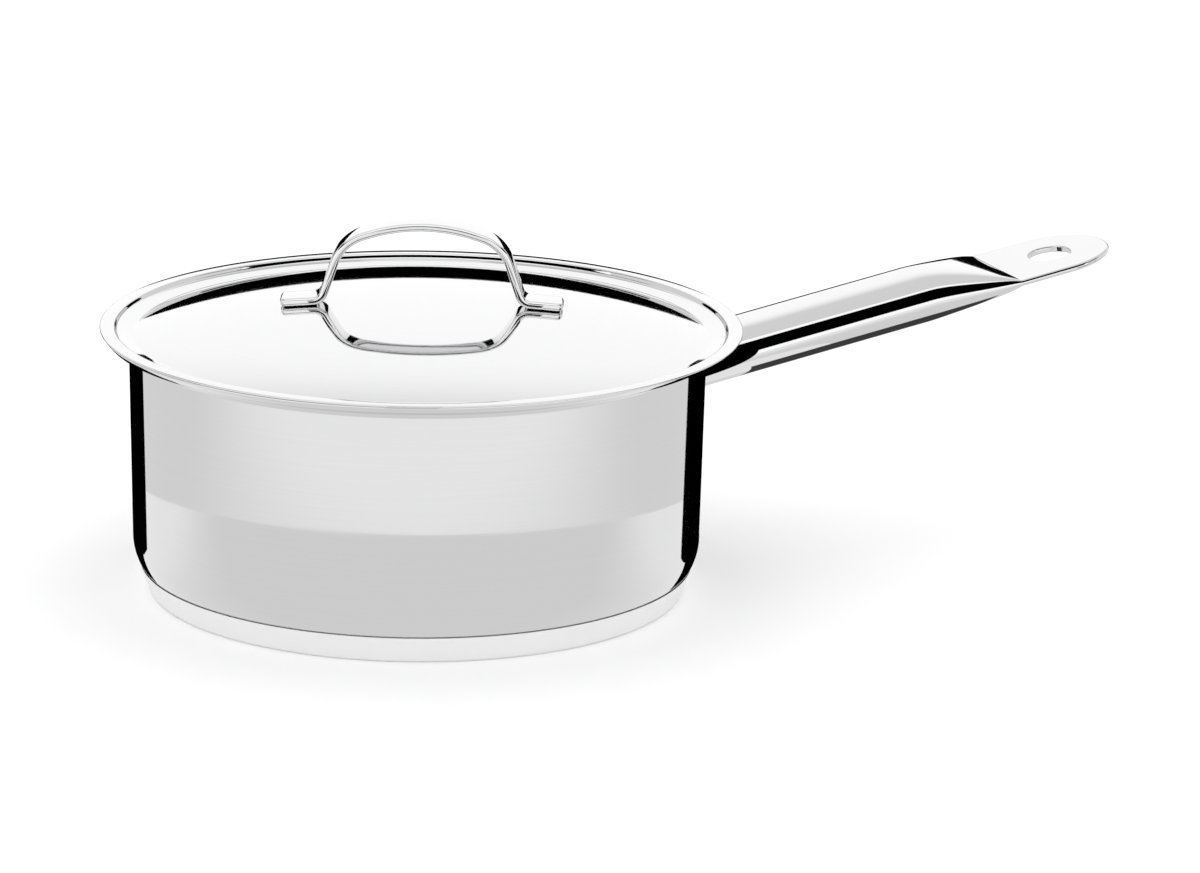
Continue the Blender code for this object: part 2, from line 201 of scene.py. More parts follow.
class PanSizes(PropertyGroup):
    height: length("Height", "Top edge of the rim above the table", PAN_HIGH.z)
    rim_radius: length("Rim radius", "Outside of the rim", PAN_HIGH.x)
    floor_height: length("Floor height", "Underside of the pan's floor", PAN_LOW.z)
    wall: length("Wall", "Thickness of the drawn sheet", 0.0008)
    draft: angle("Draft", "How far the wall leans in towards the base", 0.95)
    rim_flare: length("Rim flare", "How far the rim stands out from the wall", 0.0092)
    rim_depth: length("Rim depth", "How far below the rim the wall turns outwards", 0.0043)
    ledge_bend: length("Ledge bend", "Radius where the wall turns out into the ledge", 0.0028)
    lip_width: length("Lip width", "Width of the lip round the ledge", 0.0018)
    lip_depth: length("Lip depth", "Height of the lip round the ledge", 0.0020)
    lip_bend: length("Lip bend", "Radius where the ledge turns up into the lip", 0.0018)
    corner_bend: length("Corner bend", "Radius between the wall and the base", 0.0178)
    corner_rise: length("Corner rise", "Height of the corner above the floor", 0.0063)
    foot_inset: length("Foot inset", "From the wall in to the foot", 0.0065)
    foot_bend: length("Foot bend", "Radius between the foot and the floor", 0.0035)


class BaseSizes(PropertyGroup):
    height: length("Cap height", "Top edge of the cap", CAP_HIGH.z)
    foot_inset: length("Cap foot inset", "From the pan's foot in to the cap's foot", 0.0004)
    foot_bend: length("Cap foot bend", "Radius round the cap's foot", 0.0016)
    sheet: length("Cap sheet", "Thickness of the cap", 0.0006)
    ledge: length("Cap ledge", "Thickness of the cap's rim", 0.0002)
    ring_count: count("Rings", "Pressed rings on the underside", 5)
    ring_depth: length("Ring depth", "Depth of the pressed rings", 0.00018)
    ring_inner: length("Innermost ring", "Radius where the rings start", 0.030)
    ring_outer: length("Outermost ring", "Radius where the rings end", 0.080)


class LidSizes(PropertyGroup):
    radius: length("Radius", "Outside of the flange", (LID_HIGH.x - LID_LOW.x) / 2)
    sheet: length("Sheet", "Thickness of the lid", 0.0007)
    flange: length("Flange", "Width of the flat flange", 0.00508)
    step_width: length("Step width", "Width of the step inside the flange", 0.0007)
    step_drop: length("Step drop", "Depth of the step", 0.00175)
    step_bend: length("Step bend", "Radius at the top and foot of the step", 0.0008)
    channel_width: length("Channel width", "From the step to the foot of the dome", 0.0057)
    channel_drop: length("Channel drop", "Fall of the channel", 0.00125)
    channel_bend: length("Channel bend", "Radius at the foot of the dome", 0.0025)
    dome_rise: length("Dome rise", "Height of the dome above the channel", 0.0112)
    shoulder: share("Dome shoulder", "Share of the rise held back for a steeper edge", 0.30)
    turn: angle("Turn", "The way the loose lid is turned against the handle", -23.4)


class StrapSizes(PropertyGroup):
    width: length("Width", "Width of the strap", 0.0125)
    thickness: length("Thickness", "Thickness of the strap", 0.0028)
    edge: length("Edge", "Radius along the strap's edges", 0.0011)
    tip: length("Foot corner", "Radius of the corners of a foot", 0.0030)
    reach: length("Reach", "From the middle of the lid to the tip of a foot", 0.0490)
    leg_reach: length("Leg reach", "Where the legs stand", 0.0346)
    leg_bend: length("Leg bend", "Radius between a foot and its leg", 0.0045)
    shoulder_reach: length("Shoulder reach", "Where the arch turns over", 0.0278)
    shoulder_height: length("Shoulder height", "Height of the shoulders above the feet", 0.0204)
    shoulder_bend: length("Shoulder bend", "Radius of the shoulders", 0.0150)
    crown_rise: length("Crown rise", "Height of the crown above the shoulders", 0.0094)
    crown_bend: length("Crown bend", "Radius of the crown", 0.0600)


class HandleSizes(PropertyGroup):
    tilt: angle("Tilt", "How steeply the handle rises", 10.5)
    length: length("Length", "Along the handle from the wall to the tip", 0.1705)
    half_width: length("Half width", "Half the width of the tube", 0.0165)
    half_height: length("Half height", "Half the height of the tube", 0.0094)
    tab_half_width: length("Tab half width", "Half the width of the pressed tab", TUBE_HIGH.y)
    wall: length("Wall", "Thickness of the tube", 0.0012)
    flat: length("Flat", "Half width of the nearly flat strip along the top", 0.0020)
    root_clearance: length("Root clearance", "From the top of the root to the ledge", 0.0070)
    press_length: length("Press length", "Stretch where the tube flattens", 0.0340)
    press_power: FloatProperty(
        name="Press power", description="How late the height closes", default=1.7, min=1.0
    )
    tab_length: length("Tab length", "Length of the flat tab", 0.0435)
    tip_length: length("Tip length", "Length of the tab's round end", 0.0230)
    hole_radius: length("Hole radius", "Radius of the hanging hole", 0.0078)
    hole_setback: length("Hole setback", "From the tip to the middle of the hole", 0.0220)
    hole_edge: length("Hole edge", "Radius round the hole's edges", 0.0005)
    layer_line: length("Layer line", "Depth of the line between the pressed layers", 0.00012)
    cavity_tip: length("Cavity tip", "Half height where the closing cavity ends", 0.0006)


class WeldSizes(PropertyGroup):
    bead: length("Bead", "Half width of the weld round the handle's root", 0.0009)
    ripple: length("Ripple", "Distance between the weld's ripples", 0.0008)
    spot: length("Spot", "Radius of a spot weld's mark", 0.0021)


class Finishes(PropertyGroup):
    steel: colour("Polished steel", "Colour of the polished steel", (0.80, 0.80, 0.805))
    satin: colour("Satin steel", "Colour of the brushed steel", (0.66, 0.66, 0.665))
    aluminium: colour("Aluminium", "Colour of the core", (0.76, 0.77, 0.78))
    heat: colour("Heat tint", "Colour of the steel beside a weld", (0.62, 0.56, 0.48))
    polish: share("Polish roughness", "Roughness of the polished steel", 0.035)


class Studio(PropertyGroup):
    floor_tone: colour("Floor", "Colour of the floor", (0.97, 0.97, 0.97))
    light: brightness("Light", "Strength of the white surroundings", 1.2)
    soft_middle: brightness("Soft light", "Middle of the light behind", 1.15)
    soft_side: brightness("Soft light's side", "Sides of the light behind", 0.78)
    under_flag: brightness("Under flag", "Strength of the flag under the handle", 0.05)
    front_floor: brightness("Front floor", "Mirrored floor before the pan", 0.97)
    side_floor: brightness("Side floor", "Mirrored floor beside the pan", 0.77)
    near_front: brightness("Near floor", "Mirrored floor close before the pan", 0.755)
    near_side: brightness("Near side", "Mirrored floor close beside it", 0.94)
    near_reach: length("Near reach", "How far the near card reaches from the wall", 0.14)
    flag: brightness("Flag", "Strength of the black flags", 0.0)
    lens: FloatProperty(name="Lens", description="Focal length of the camera", default=165.0, unit="CAMERA")
    distance: length("Distance", "From the camera to the point that it looks at", 1.9157)


class Saucepan(PropertyGroup):
    pan: PointerProperty(type=PanSizes)
    base: PointerProperty(type=BaseSizes)
    lid: PointerProperty(type=LidSizes)
    strap: PointerProperty(type=StrapSizes)
    handle: PointerProperty(type=HandleSizes)
    weld: PointerProperty(type=WeldSizes)
    finish: PointerProperty(type=Finishes)
    studio: PointerProperty(type=Studio)


# ---- outlines ----


def between(first, last, steps):
    return [first + (last - first) * step / steps for step in range(steps + 1)]


def corner_arc(before, corner, after, radius):
    """Points of the arc that rounds a corner, with a point on each straight side just beside it."""
    back = (before - corner).normalized()
    ahead = (after - corner).normalized()
    opening = back.angle(ahead)
    tangent = radius / math.tan(opening / 2)
    turn = math.pi - opening
    centre = corner + (back + ahead).normalized() * radius / math.sin(opening / 2)
    start = corner + back * tangent - centre
    side = 1 if ahead.cross(back) > 0 else -1
    steps = max(3, math.ceil(turn / ARC_STEP))
    arc = [centre + Matrix.Rotation(side * turn * step / steps, 2) @ start for step in range(steps + 1)]
    return [arc[0] + back * SUPPORT] + arc + [arc[-1] + ahead * SUPPORT]


def rounded(corners):
    """The path through corners of (x, z, radius), with an arc in place of each corner that has a radius."""
    places = [Vector(corner[:2]) for corner in corners]
    path = []
    for index, (place, corner) in enumerate(zip(places, corners)):
        if corner[2]:
            path += corner_arc(places[index - 1], place, places[index + 1], corner[2])
        else:
            path.append(place)
    return path


def normals_of(path):
    """Unit normals on the left of an open path."""
    runs = [(after - here).normalized() for here, after in zip(path, path[1:])]
    turned = []
    for index in range(len(path)):
        run = runs[max(index - 1, 0)] + runs[min(index, len(runs) - 1)]
        run.normalize()
        turned.append(Vector((-run.y, run.x)))
    return turned


def sheet_section(path, thickness):
    """The section of a sheet: a path from the axis, a round edge, and the way back at its thickness."""
    inner = [place + normal * thickness for place, normal in zip(path, normals_of(path))]
    inner[0].x = 0.0
    rim = (path[-1] + inner[-1]) / 2
    arm = path[-1] - rim
    turns = [math.pi * step / EDGE_STEPS for step in range(1, EDGE_STEPS)]
    edge = [rim + Matrix.Rotation(turn, 2) @ arm for turn in turns]
    return path + edge + inner[::-1]


def radius_at(path, height):
    """The radius of a path that rises from the axis outwards, at a height."""
    for lower, upper in zip(path, path[1:]):
        if upper.y > lower.y and height <= upper.y:
            part = max((height - lower.y) / (upper.y - lower.y), 0.0)
            return lower.x + (upper.x - lower.x) * part
    return path[-1].x


# ---- node trees ----


class Tree:
    """A node tree with a short way to add and join nodes."""

    def __init__(self, tree):
        self.tree = tree

    def add(self, kind, settings=(), **sockets):
        node = self.tree.nodes.new(kind)
        for name, value in dict(settings).items():
            setattr(node, name, value)
        for name, value in sockets.items():
            socket = self.socket(node, name)
            if isinstance(value, bpy.types.NodeSocket):
                self.tree.links.new(value, socket)
            else:
                socket.default_value = value
        return node

    @staticmethod
    def socket(node, name):
        """A socket by its place, as in at_1, or by its name with _ for spaces."""
        if name.startswith("at_"):
            return node.inputs[int(name[3:])]
        return node.inputs[name.replace("_", " ")]

    def maths(self, operation, first, second=0.0, third=None):
        sockets = {"at_0": first, "at_1": second}
        if third is not None:
            sockets["at_2"] = third
        return self.add("ShaderNodeMath", {"operation": operation}, **sockets).outputs[0]


def geometry_tree(name, inputs):
    """A geometry node group whose inputs are (name, socket type, default), after its geometry."""
    made = bpy.data.node_groups.new(name, "GeometryNodeTree")
    made.interface.new_socket("Geometry", in_out="INPUT", socket_type="NodeSocketGeometry")
    for label, kind, default in inputs:
        socket = made.interface.new_socket(label, in_out="INPUT", socket_type=kind)
        if default is not None:
            socket.default_value = default
    made.interface.new_socket("Geometry", in_out="OUTPUT", socket_type="NodeSocketGeometry")
    tree = Tree(made)
    return tree, tree.add("NodeGroupInput").outputs


def finish_tree(tree, geometry, material):
    """Ends a geometry tree in real faces with their material."""
    real = tree.add("GeometryNodeRealizeInstances", Geometry=geometry)
    painted = tree.add("GeometryNodeSetMaterial", Geometry=real.outputs[0], Material=material)
    tree.add("NodeGroupOutput", Geometry=painted.outputs[0])
    return tree.tree


def turning_tree():
    """Turns a profile of points (x, 0, z) round the Z axis into a skin."""
    tree, given = geometry_tree(
        "turn_profile",
        [("Steps", "NodeSocketInt", TURN_STEPS), ("Material", "NodeSocketMaterial", None)],
    )
    points = tree.add("GeometryNodeAttributeDomainSize", Geometry=given["Geometry"]).outputs[0]
    columns = tree.maths("ADD", given["Steps"], 1)
    skin = tree.add("GeometryNodeMeshGrid", Vertices_X=columns, Vertices_Y=points)
    index = tree.add("GeometryNodeInputIndex").outputs[0]
    row = tree.maths("MODULO", index, points)
    column = tree.maths("FLOOR", tree.maths("DIVIDE", tree.maths("ADD", index, 0.5), points))
    swing = tree.maths("MULTIPLY", tree.maths("DIVIDE", column, given["Steps"]), math.tau)
    place = tree.add("GeometryNodeInputPosition").outputs[0]
    profile = tree.add(
        "GeometryNodeSampleIndex",
        {"data_type": "FLOAT_VECTOR", "domain": "POINT"},
        Geometry=given["Geometry"],
        Value=place,
        Index=row,
    )
    parts = tree.add("ShaderNodeSeparateXYZ", Vector=profile.outputs[0]).outputs
    across = tree.maths("MULTIPLY", parts[0], tree.maths("COSINE", swing))
    along = tree.maths("MULTIPLY", parts[0], tree.maths("SINE", swing))
    turned = tree.add("ShaderNodeCombineXYZ", X=across, Y=along, Z=parts[2]).outputs[0]
    moved = tree.add("GeometryNodeSetPosition", Geometry=skin.outputs[0], Position=turned)
    joined = tree.add("GeometryNodeMergeByDistance", Geometry=moved.outputs[0], Distance=MERGE)
    return finish_tree(tree, joined.outputs[0], given["Material"])


def set_input(modifier, name, value):
    """Sets a modifier's input by its socket's identifier."""
    for item in modifier.node_group.interface.items_tree:
        if item.item_type == "SOCKET" and item.in_out == "INPUT" and item.name == name:
            modifier[item.identifier] = value
            return
    raise RuntimeError(f"{modifier.node_group.name} has no input named {name}")


def add_object(name, mesh):
    made = bpy.data.objects.new(name, mesh)
    bpy.context.scene.collection.objects.link(made)
    return made


def replace_mesh(made):
    """Makes the object's evaluated shape its own mesh and removes its modifiers."""
    bpy.context.view_layer.update()
    graph = bpy.context.evaluated_depsgraph_get()
    shaped = bpy.data.meshes.new_from_object(made.evaluated_get(graph))
    made.modifiers.clear()
    made.data = shaped
    shaped.name = made.name
    return made


def run_tree(made, tree, **inputs):
    """Runs a geometry tree on an object and keeps the result as its mesh."""
    modifier = made.modifiers.new(tree.name, "NODES")
    modifier.node_group = tree
    for name, value in inputs.items():
        set_input(modifier, name.replace("_", " "), value)
    return replace_mesh(made)


def close_skin(made, sharp):
    """Merges doubles, turns every face outwards and shades the skin smooth, but for its sharp edges."""
    shape = bmesh.new()
    shape.from_mesh(made.data)
    bmesh.ops.remove_doubles(shape, verts=shape.verts, dist=MERGE)
    bmesh.ops.dissolve_degenerate(shape, edges=shape.edges, dist=MERGE)
    bmesh.ops.recalc_face_normals(shape, faces=shape.faces)
    for face in shape.faces:
        face.smooth = True
    shape.to_mesh(made.data)
    shape.free()
    made.data.set_sharp_from_angle(angle=sharp)


def turned_piece(name, section, material, place=None):
    """A turned skin from a section whose two ends lie on the axis."""
    mesh = bpy.data.meshes.new(name)
    edges = [(index, index + 1) for index in range(len(section) - 1)]
    mesh.from_pydata([(point.x, 0, point.y) for point in section], edges, [])
    made = add_object(name, mesh)
    tree = bpy.data.node_groups.get("turn_profile") or turning_tree()
    run_tree(made, tree, Steps=TURN_STEPS, Material=material)
    close_skin(made, SHARP)
    if place:
        made.data.transform(place)
    return made


def join_rings(shape, rings):
    """Faces between closed rings of points, one after another. Returns the rings' vertices."""
    rows = [[shape.verts.new(point) for point in ring] for ring in rings]
    for near, far in zip(rows, rows[1:]):
        for index in range(len(near)):
            after = (index + 1) % len(near)
            shape.faces.new((near[index], near[after], far[after], far[index]))
    return rows


def shade_smooth(made):
    for face in made.data.polygons:
        face.use_smooth = True
    return made


def skin_rings(name, rings, material):
    """A skin over closed rings of points, with a face at each end."""
    mesh = bpy.data.meshes.new(name)
    shape = bmesh.new()
    rows = join_rings(shape, rings)
    shape.faces.new(rows[0])
    shape.faces.new(rows[-1])
    shape.to_mesh(mesh)
    shape.free()
    mesh.materials.append(material)
    made = add_object(name, mesh)
    close_skin(made, SHARP)
    return made


# ---- finishes ----


def new_material(name, tone, metallic=1.0):
    """A material with its shader, whose constant values are set on the shader itself."""
    made = bpy.data.materials.new(name)
    made.use_nodes = True
    tree = Tree(made.node_tree)
    shader = made.node_tree.nodes["Principled BSDF"]
    shader.inputs["Base Color"].default_value = (*tone, 1.0)
    shader.inputs["Metallic"].default_value = metallic
    made.diffuse_color = (*tone, 1.0)
    return made, tree, shader


def noise(tree, vector, scale, detail=2.0):
    return tree.add("ShaderNodeTexNoise", Vector=vector, Scale=scale, Detail=detail).outputs["Fac"]


def spread(tree, value, low, high):
    """A noise value of about 0.3 to 0.7, spread from low to high."""
    made = tree.add("ShaderNodeMapRange", Value=value, From_Min=0.3, From_Max=0.7, To_Min=low, To_Max=high)
    return made.outputs["Result"]


def blend(tree, shader, first, second, factor):
    """Lets the colour pass from the first to the second as the factor rises."""
    mixed = tree.add("ShaderNodeMix", {"data_type": "RGBA"}, Factor=factor)
    mixed.inputs["A"].default_value = (*first, 1.0)
    mixed.inputs["B"].default_value = (*second, 1.0)
    tree.tree.links.new(mixed.outputs["Result"], shader.inputs["Base Color"])


def tint(tree, shader, tone, factor, depth):
    """Lets the colour fall to a darker share of itself where the factor is high."""
    blend(tree, shader, tone, [part * depth for part in tone], factor)


def bump(tree, shader, height, distance, strength=1.0):
    made = tree.add("ShaderNodeBump", Height=height, Distance=distance, Strength=strength)
    tree.tree.links.new(made.outputs["Normal"], shader.inputs["Normal"])


def axis_distance(tree, parts):
    """How far a place, given in its three parts, lies from the vertical axis."""
    flat = tree.add("ShaderNodeCombineXYZ", X=parts[0], Y=parts[1], Z=0.0).outputs[0]
    return tree.add("ShaderNodeVectorMath", {"operation": "LENGTH"}, at_0=flat).outputs["Value"]


def turned_grain(tree, middle, across, along):
    """Coordinates that stretch a pattern round a vertical axis: fine rings across, slow change round them."""
    place = tree.add("ShaderNodeTexCoord").outputs["Object"]
    centred = tree.add("ShaderNodeMapping", Vector=place, Location=(-middle.x, -middle.y, 0.0))
    parts = tree.add("ShaderNodeSeparateXYZ", Vector=centred.outputs[0]).outputs
    radius = axis_distance(tree, parts)
    swing = tree.maths("ARCTAN2", parts[1], parts[0])
    return tree.add(
        "ShaderNodeCombineXYZ",
        X=tree.maths("MULTIPLY", radius, across),
        Y=tree.maths("MULTIPLY", parts[2], across),
        Z=tree.maths("MULTIPLY", swing, along),
    ).outputs[0]


def drawn_grain(tree, tilt, across, along):
    """Coordinates that stretch a pattern along a tilted bar."""
    place = tree.add("ShaderNodeTexCoord").outputs["Object"]
    level = tree.add("ShaderNodeMapping", Vector=place, Rotation=(0.0, tilt, 0.0))
    stretched = tree.add("ShaderNodeMapping", Vector=level.outputs[0], Scale=(along, across, across))
    return stretched.outputs[0]


def polish(tree, shader, tone, roughness, grain):
    """Mirror polish: faint haze, slow patches and hairlines that follow the grain."""
    place = tree.add("ShaderNodeTexCoord").outputs["Object"]
    haze = noise(tree, place, HAZE_SCALE, 3.0)
    hairline = noise(tree, grain, 1.0, 4.0)
    patches = spread(tree, haze, roughness * 0.7, roughness * 1.4)
    lines = spread(tree, hairline, -roughness * 0.25, roughness * 0.25)
    rough = tree.maths("MAXIMUM", tree.maths("ADD", patches, lines), LEAST_ROUGHNESS)
    tree.tree.links.new(rough, shader.inputs["Roughness"])
    tint(tree, shader, tone, spread(tree, hairline, 0.0, 1.0), 0.985)
    bump(tree, shader, hairline, 0.0000012)


def polished_turned(name, finish, middle=Vector((0, 0, 0))):
    made, tree, shader = new_material(name, finish.steel)
    polish(tree, shader, finish.steel, finish.polish, turned_grain(tree, middle, *LATHE_GRAIN))
    return made


def polished_drawn(name, finish, tilt):
    made, tree, shader = new_material(name, finish.steel)
    polish(tree, shader, finish.steel, finish.polish, drawn_grain(tree, tilt, *BAR_GRAIN))
    return made


def brushed_turned(name, finish, middle=Vector((0, 0, 0))):
    """Satin steel, brushed round and round."""
    made, tree, shader = new_material(name, finish.satin)
    grain = turned_grain(tree, middle, *BRUSH_GRAIN)
    scratch = noise(tree, grain, 1.0, 6.0)
    tree.tree.links.new(spread(tree, scratch, 0.24, 0.40), shader.inputs["Roughness"])
    tint(tree, shader, finish.satin, scratch, 0.80)
    bump(tree, shader, scratch, 0.00001)
    shader.inputs["Anisotropic"].default_value = 0.5
    return made


def cut_aluminium(name, finish):
    made, tree, shader = new_material(name, finish.aluminium)
    grain = turned_grain(tree, Vector((0, 0, 0)), *CUT_GRAIN)
    mark = noise(tree, grain, 1.0, 4.0)
    tree.tree.links.new(spread(tree, mark, 0.34, 0.50), shader.inputs["Roughness"])
    tint(tree, shader, finish.aluminium, mark, 0.85)
    bump(tree, shader, mark, 0.00002)
    return made


def weld_steel(name, finish):
    """Bright rippled weld metal with a straw tint in places."""
    made, tree, shader = new_material(name, finish.satin)
    place = tree.add("ShaderNodeTexCoord").outputs["Object"]
    patch = noise(tree, place, HEAT_SCALE, 3.0)
    blend(tree, shader, finish.satin, finish.heat, spread(tree, patch, 0.0, 1.0))
    tree.tree.links.new(spread(tree, patch, 0.20, 0.36), shader.inputs["Roughness"])
    bump(tree, shader, patch, 0.00003)
    return made


# ---- pan ----


def wall_radius(pan):
    """The wall's outer radius, where the rim starts."""
    return pan.rim_radius - pan.rim_flare


def pan_outside(pan):
    """The pan's outer surface, from the middle of the floor out and up to the rim."""
    wall = wall_radius(pan)
    flare_start = pan.height - pan.rim_depth
    slope = math.atan2(pan.lip_depth, pan.lip_width)
    rim_height = pan.height - pan.wall * math.cos(slope) / 2 - pan.wall / 2
    corner_height = pan.floor_height + pan.corner_rise
    corner_radius = wall - (flare_start - corner_height) * math.tan(pan.draft)
    return rounded(
        [
            (0, pan.floor_height, 0),
            (wall - pan.foot_inset, pan.floor_height, pan.foot_bend),
            (corner_radius, corner_height, pan.corner_bend),
            (wall, flare_start, pan.ledge_bend),
            (pan.rim_radius - pan.lip_width, rim_height - pan.lip_depth, pan.lip_bend),
            (pan.rim_radius - pan.wall / 2 * (1 - math.sin(slope)), rim_height, 0),
        ]
    )


def build_pan_shell(sizes):
    finish = sizes.finish
    section = sheet_section(pan_outside(sizes.pan), sizes.pan.wall)
    shell = turned_piece("pan_shell", section, polished_turned("polished_pan", finish))
    shell.data.materials.append(brushed_turned("brushed_inside", finish))
    paint_inside(shell, sizes.pan)
    return shell


def paint_inside(shell, pan):
    """Gives the brushed finish to the faces that look into the pan, below its polished rim."""
    brushed_top = pan.height - pan.rim_depth
    for face in shell.data.polygons:
        middle, normal = face.center, face.normal
        inwards = normal.z > 0.5 or normal.x * middle.x + normal.y * middle.y < 0
        if inwards and middle.z < brushed_top:
            face.material_index = 1


def build_cap(sizes):
    """The pressed cap, whose rim lies round the pan's foot with a fine seam."""
    pan, base = sizes.pan, sizes.base
    outside_pan = pan_outside(pan)
    foot = wall_radius(pan) - pan.foot_inset - base.foot_inset
    rim = radius_at(outside_pan, base.height) + GAP + base.ledge
    outer = [Vector((0, 0))] + ring_stations(base)
    outer += rounded([(base.ring_outer, 0, 0), (foot, 0, base.foot_bend), (rim, base.height, 0)])[1:]
    slope = math.atan2(rim - foot, base.height)
    sheet = base.sheet / math.cos(slope)
    bend_out = base.foot_bend - base.sheet
    inner_foot = foot + base.sheet * math.tan(slope) - sheet
    top = base.height - base.ledge / 2
    inner = rounded(
        [(0, base.sheet, 0), (inner_foot, base.sheet, bend_out), (rim - sheet, base.height, 0)]
    )[:-1]
    inner.append(Vector((radius_at(outside_pan, pan.floor_height) + GAP, pan.floor_height)))
    for height in between(pan.floor_height, top, CAP_STEPS)[1:]:
        against_pan = radius_at(outside_pan, height) + GAP / math.cos(slope)
        inner.append(Vector((max(against_pan, radius_at(outer, height) - sheet), height)))
    crest = Vector(((rim + inner[-1].x) / 2, base.height))
    section = outer[:-1] + [Vector((rim, top)), crest] + inner[::-1]
    cap = turned_piece("base_shell", section, polished_turned("polished_cap", sizes.finish))
    press_rings(cap, base)
    cap.data.materials.append(brushed_turned("brushed_underside", sizes.finish))
    for face in cap.data.polygons:
        if face.normal.z < FACES_DOWN:
            face.material_index = 1
    return cap


def ring_stations(base):
    """Points across the flat underside, close enough together to take the pressed rings."""
    rows = base.ring_count * RING_STEPS
    reach = base.ring_outer - base.ring_inner
    return [Vector((base.ring_inner + reach * row / rows, 0)) for row in range(rows + 1)]


def ring_tree():
    """Presses shallow rings up into the flat underside, between two radii."""
    tree, given = geometry_tree(
        "pressed_rings",
        [
            ("Inner", "NodeSocketFloat", 0.03),
            ("Outer", "NodeSocketFloat", 0.08),
            ("Count", "NodeSocketInt", 5),
            ("Depth", "NodeSocketFloat", 0.0002),
            ("Level", "NodeSocketFloat", 0.0001),
            ("Material", "NodeSocketMaterial", None),
        ],
    )
    place = tree.add("GeometryNodeInputPosition").outputs[0]
    parts = tree.add("ShaderNodeSeparateXYZ", Vector=place).outputs
    radius = axis_distance(tree, parts)
    reach = tree.maths("SUBTRACT", given["Outer"], given["Inner"])
    part = tree.maths("DIVIDE", tree.maths("SUBTRACT", radius, given["Inner"]), reach)
    turns = tree.maths("MULTIPLY", tree.maths("MULTIPLY", part, given["Count"]), math.tau)
    wave = tree.maths("SUBTRACT", 0.5, tree.maths("MULTIPLY", tree.maths("COSINE", turns), 0.5))
    lift = tree.maths("MULTIPLY", tree.maths("POWER", tree.maths("MAXIMUM", wave, 0.0), 4.0), given["Depth"])
    above = tree.maths("GREATER_THAN", part, 0.0)
    within = tree.maths("MULTIPLY", above, tree.maths("LESS_THAN", part, 1.0))
    low = tree.maths("LESS_THAN", parts[2], given["Level"])
    chosen = tree.maths("MULTIPLY", within, low)
    offset = tree.add("ShaderNodeCombineXYZ", Z=tree.maths("MULTIPLY", lift, chosen)).outputs[0]
    moved = tree.add("GeometryNodeSetPosition", Geometry=given["Geometry"], Offset=offset)
    return finish_tree(tree, moved.outputs[0], given["Material"])


def press_rings(cap, base):
    run_tree(
        cap,
        ring_tree(),
        Inner=base.ring_inner,
        Outer=base.ring_outer,
        Count=base.ring_count,
        Depth=base.ring_depth,
        Level=base.sheet / 2,
        Material=cap.data.materials[0],
    )


# ---- lid ----


def lid_place(sizes):
    """The lid's own axes: its middle, on top of the flange, turned as it lies."""
    lid = sizes.lid
    seat = LID_HIGH.z - lid.dome_rise + lid.step_drop + lid.channel_drop
    return Matrix.Translation((LID_MIDDLE.x, LID_MIDDLE.y, seat)) @ Matrix.Rotation(lid.turn, 4, "Z")


def valley_radius(lid):
    return lid.radius - lid.flange - lid.step_width - lid.channel_width


def dome_height(lid, radius):
    """The dome's top surface at a radius, from the top of the flange."""
    part = (radius / valley_radius(lid)) ** 2
    fall = (1 - lid.shoulder) * part + lid.shoulder * part * part
    return lid.dome_rise * (1 - fall) - lid.step_drop - lid.channel_drop


def dome_slope(lid, radius):
    """The angle at which the dome falls away at a radius."""
    part = (radius / valley_radius(lid)) ** 2
    steepness = (1 - lid.shoulder) + 2 * lid.shoulder * part
    return math.atan(2 * radius * lid.dome_rise * steepness / valley_radius(lid) ** 2)


def lid_underside(lid):
    """The lid's lower surface, from the middle of the dome out to its edge."""
    valley = valley_radius(lid)
    dome = [valley * step / DOME_RINGS for step in range(DOME_RINGS)]
    flange = lid.radius - lid.flange
    edge = lid.sheet / 2
    top = rounded(
        [(radius, dome_height(lid, radius), 0) for radius in dome]
        + [
            (valley, -lid.step_drop - lid.channel_drop, lid.channel_bend),
            (flange - lid.step_width, -lid.step_drop, lid.step_bend),
            (flange, 0, lid.step_bend),
            (lid.radius - edge, 0, 0),
        ]
    )
    lower = [place - normal * lid.sheet for place, normal in zip(top, normals_of(top))]
    lower[0].x = 0.0
    return lower


def build_lid_shell(sizes):
    section = sheet_section(lid_underside(sizes.lid), sizes.lid.sheet)
    steel = polished_turned("polished_lid", sizes.finish, LID_MIDDLE)
    return turned_piece("lid_shell", section, steel, lid_place(sizes))


def strap_path(lid, strap):
    """The middle of the strap from the side, from one foot over the arch to the other."""

    def foot_height(reach):
        return dome_height(lid, reach) + (GAP + strap.thickness / 2) / math.cos(dome_slope(lid, reach))

    ankle = foot_height(strap.leg_reach)
    half = [
        (strap.reach, foot_height(strap.reach), 0),
        (strap.leg_reach, ankle, strap.leg_bend),
        (strap.shoulder_reach, ankle + strap.shoulder_height, strap.shoulder_bend),
    ]
    crown = [(0, ankle + strap.shoulder_height + strap.crown_rise, strap.crown_bend)]
    path = rounded(half + crown + [(-x, z, radius) for x, z, radius in half[::-1]])
    first, last = path[0], path[-1]
    turns = [math.pi / 2 * step / FOOT_STEPS for step in range(FOOT_STEPS)]
    reaches = [strap.tip * (1 - math.cos(turn)) for turn in turns]
    into = (path[1] - first).normalized()
    start = [first + into * reach for reach in reaches]
    back = (path[-2] - last).normalized()
    end = [last + back * reach for reach in reversed(reaches)]
    return start + path[1:-1] + end


def quarter_inset(reach, radius):
    """How far a quarter circle of this radius stands in from its flat side, at a reach from its end."""
    if reach >= radius:
        return 0.0
    return radius - math.sqrt(radius * radius - (radius - reach) ** 2)


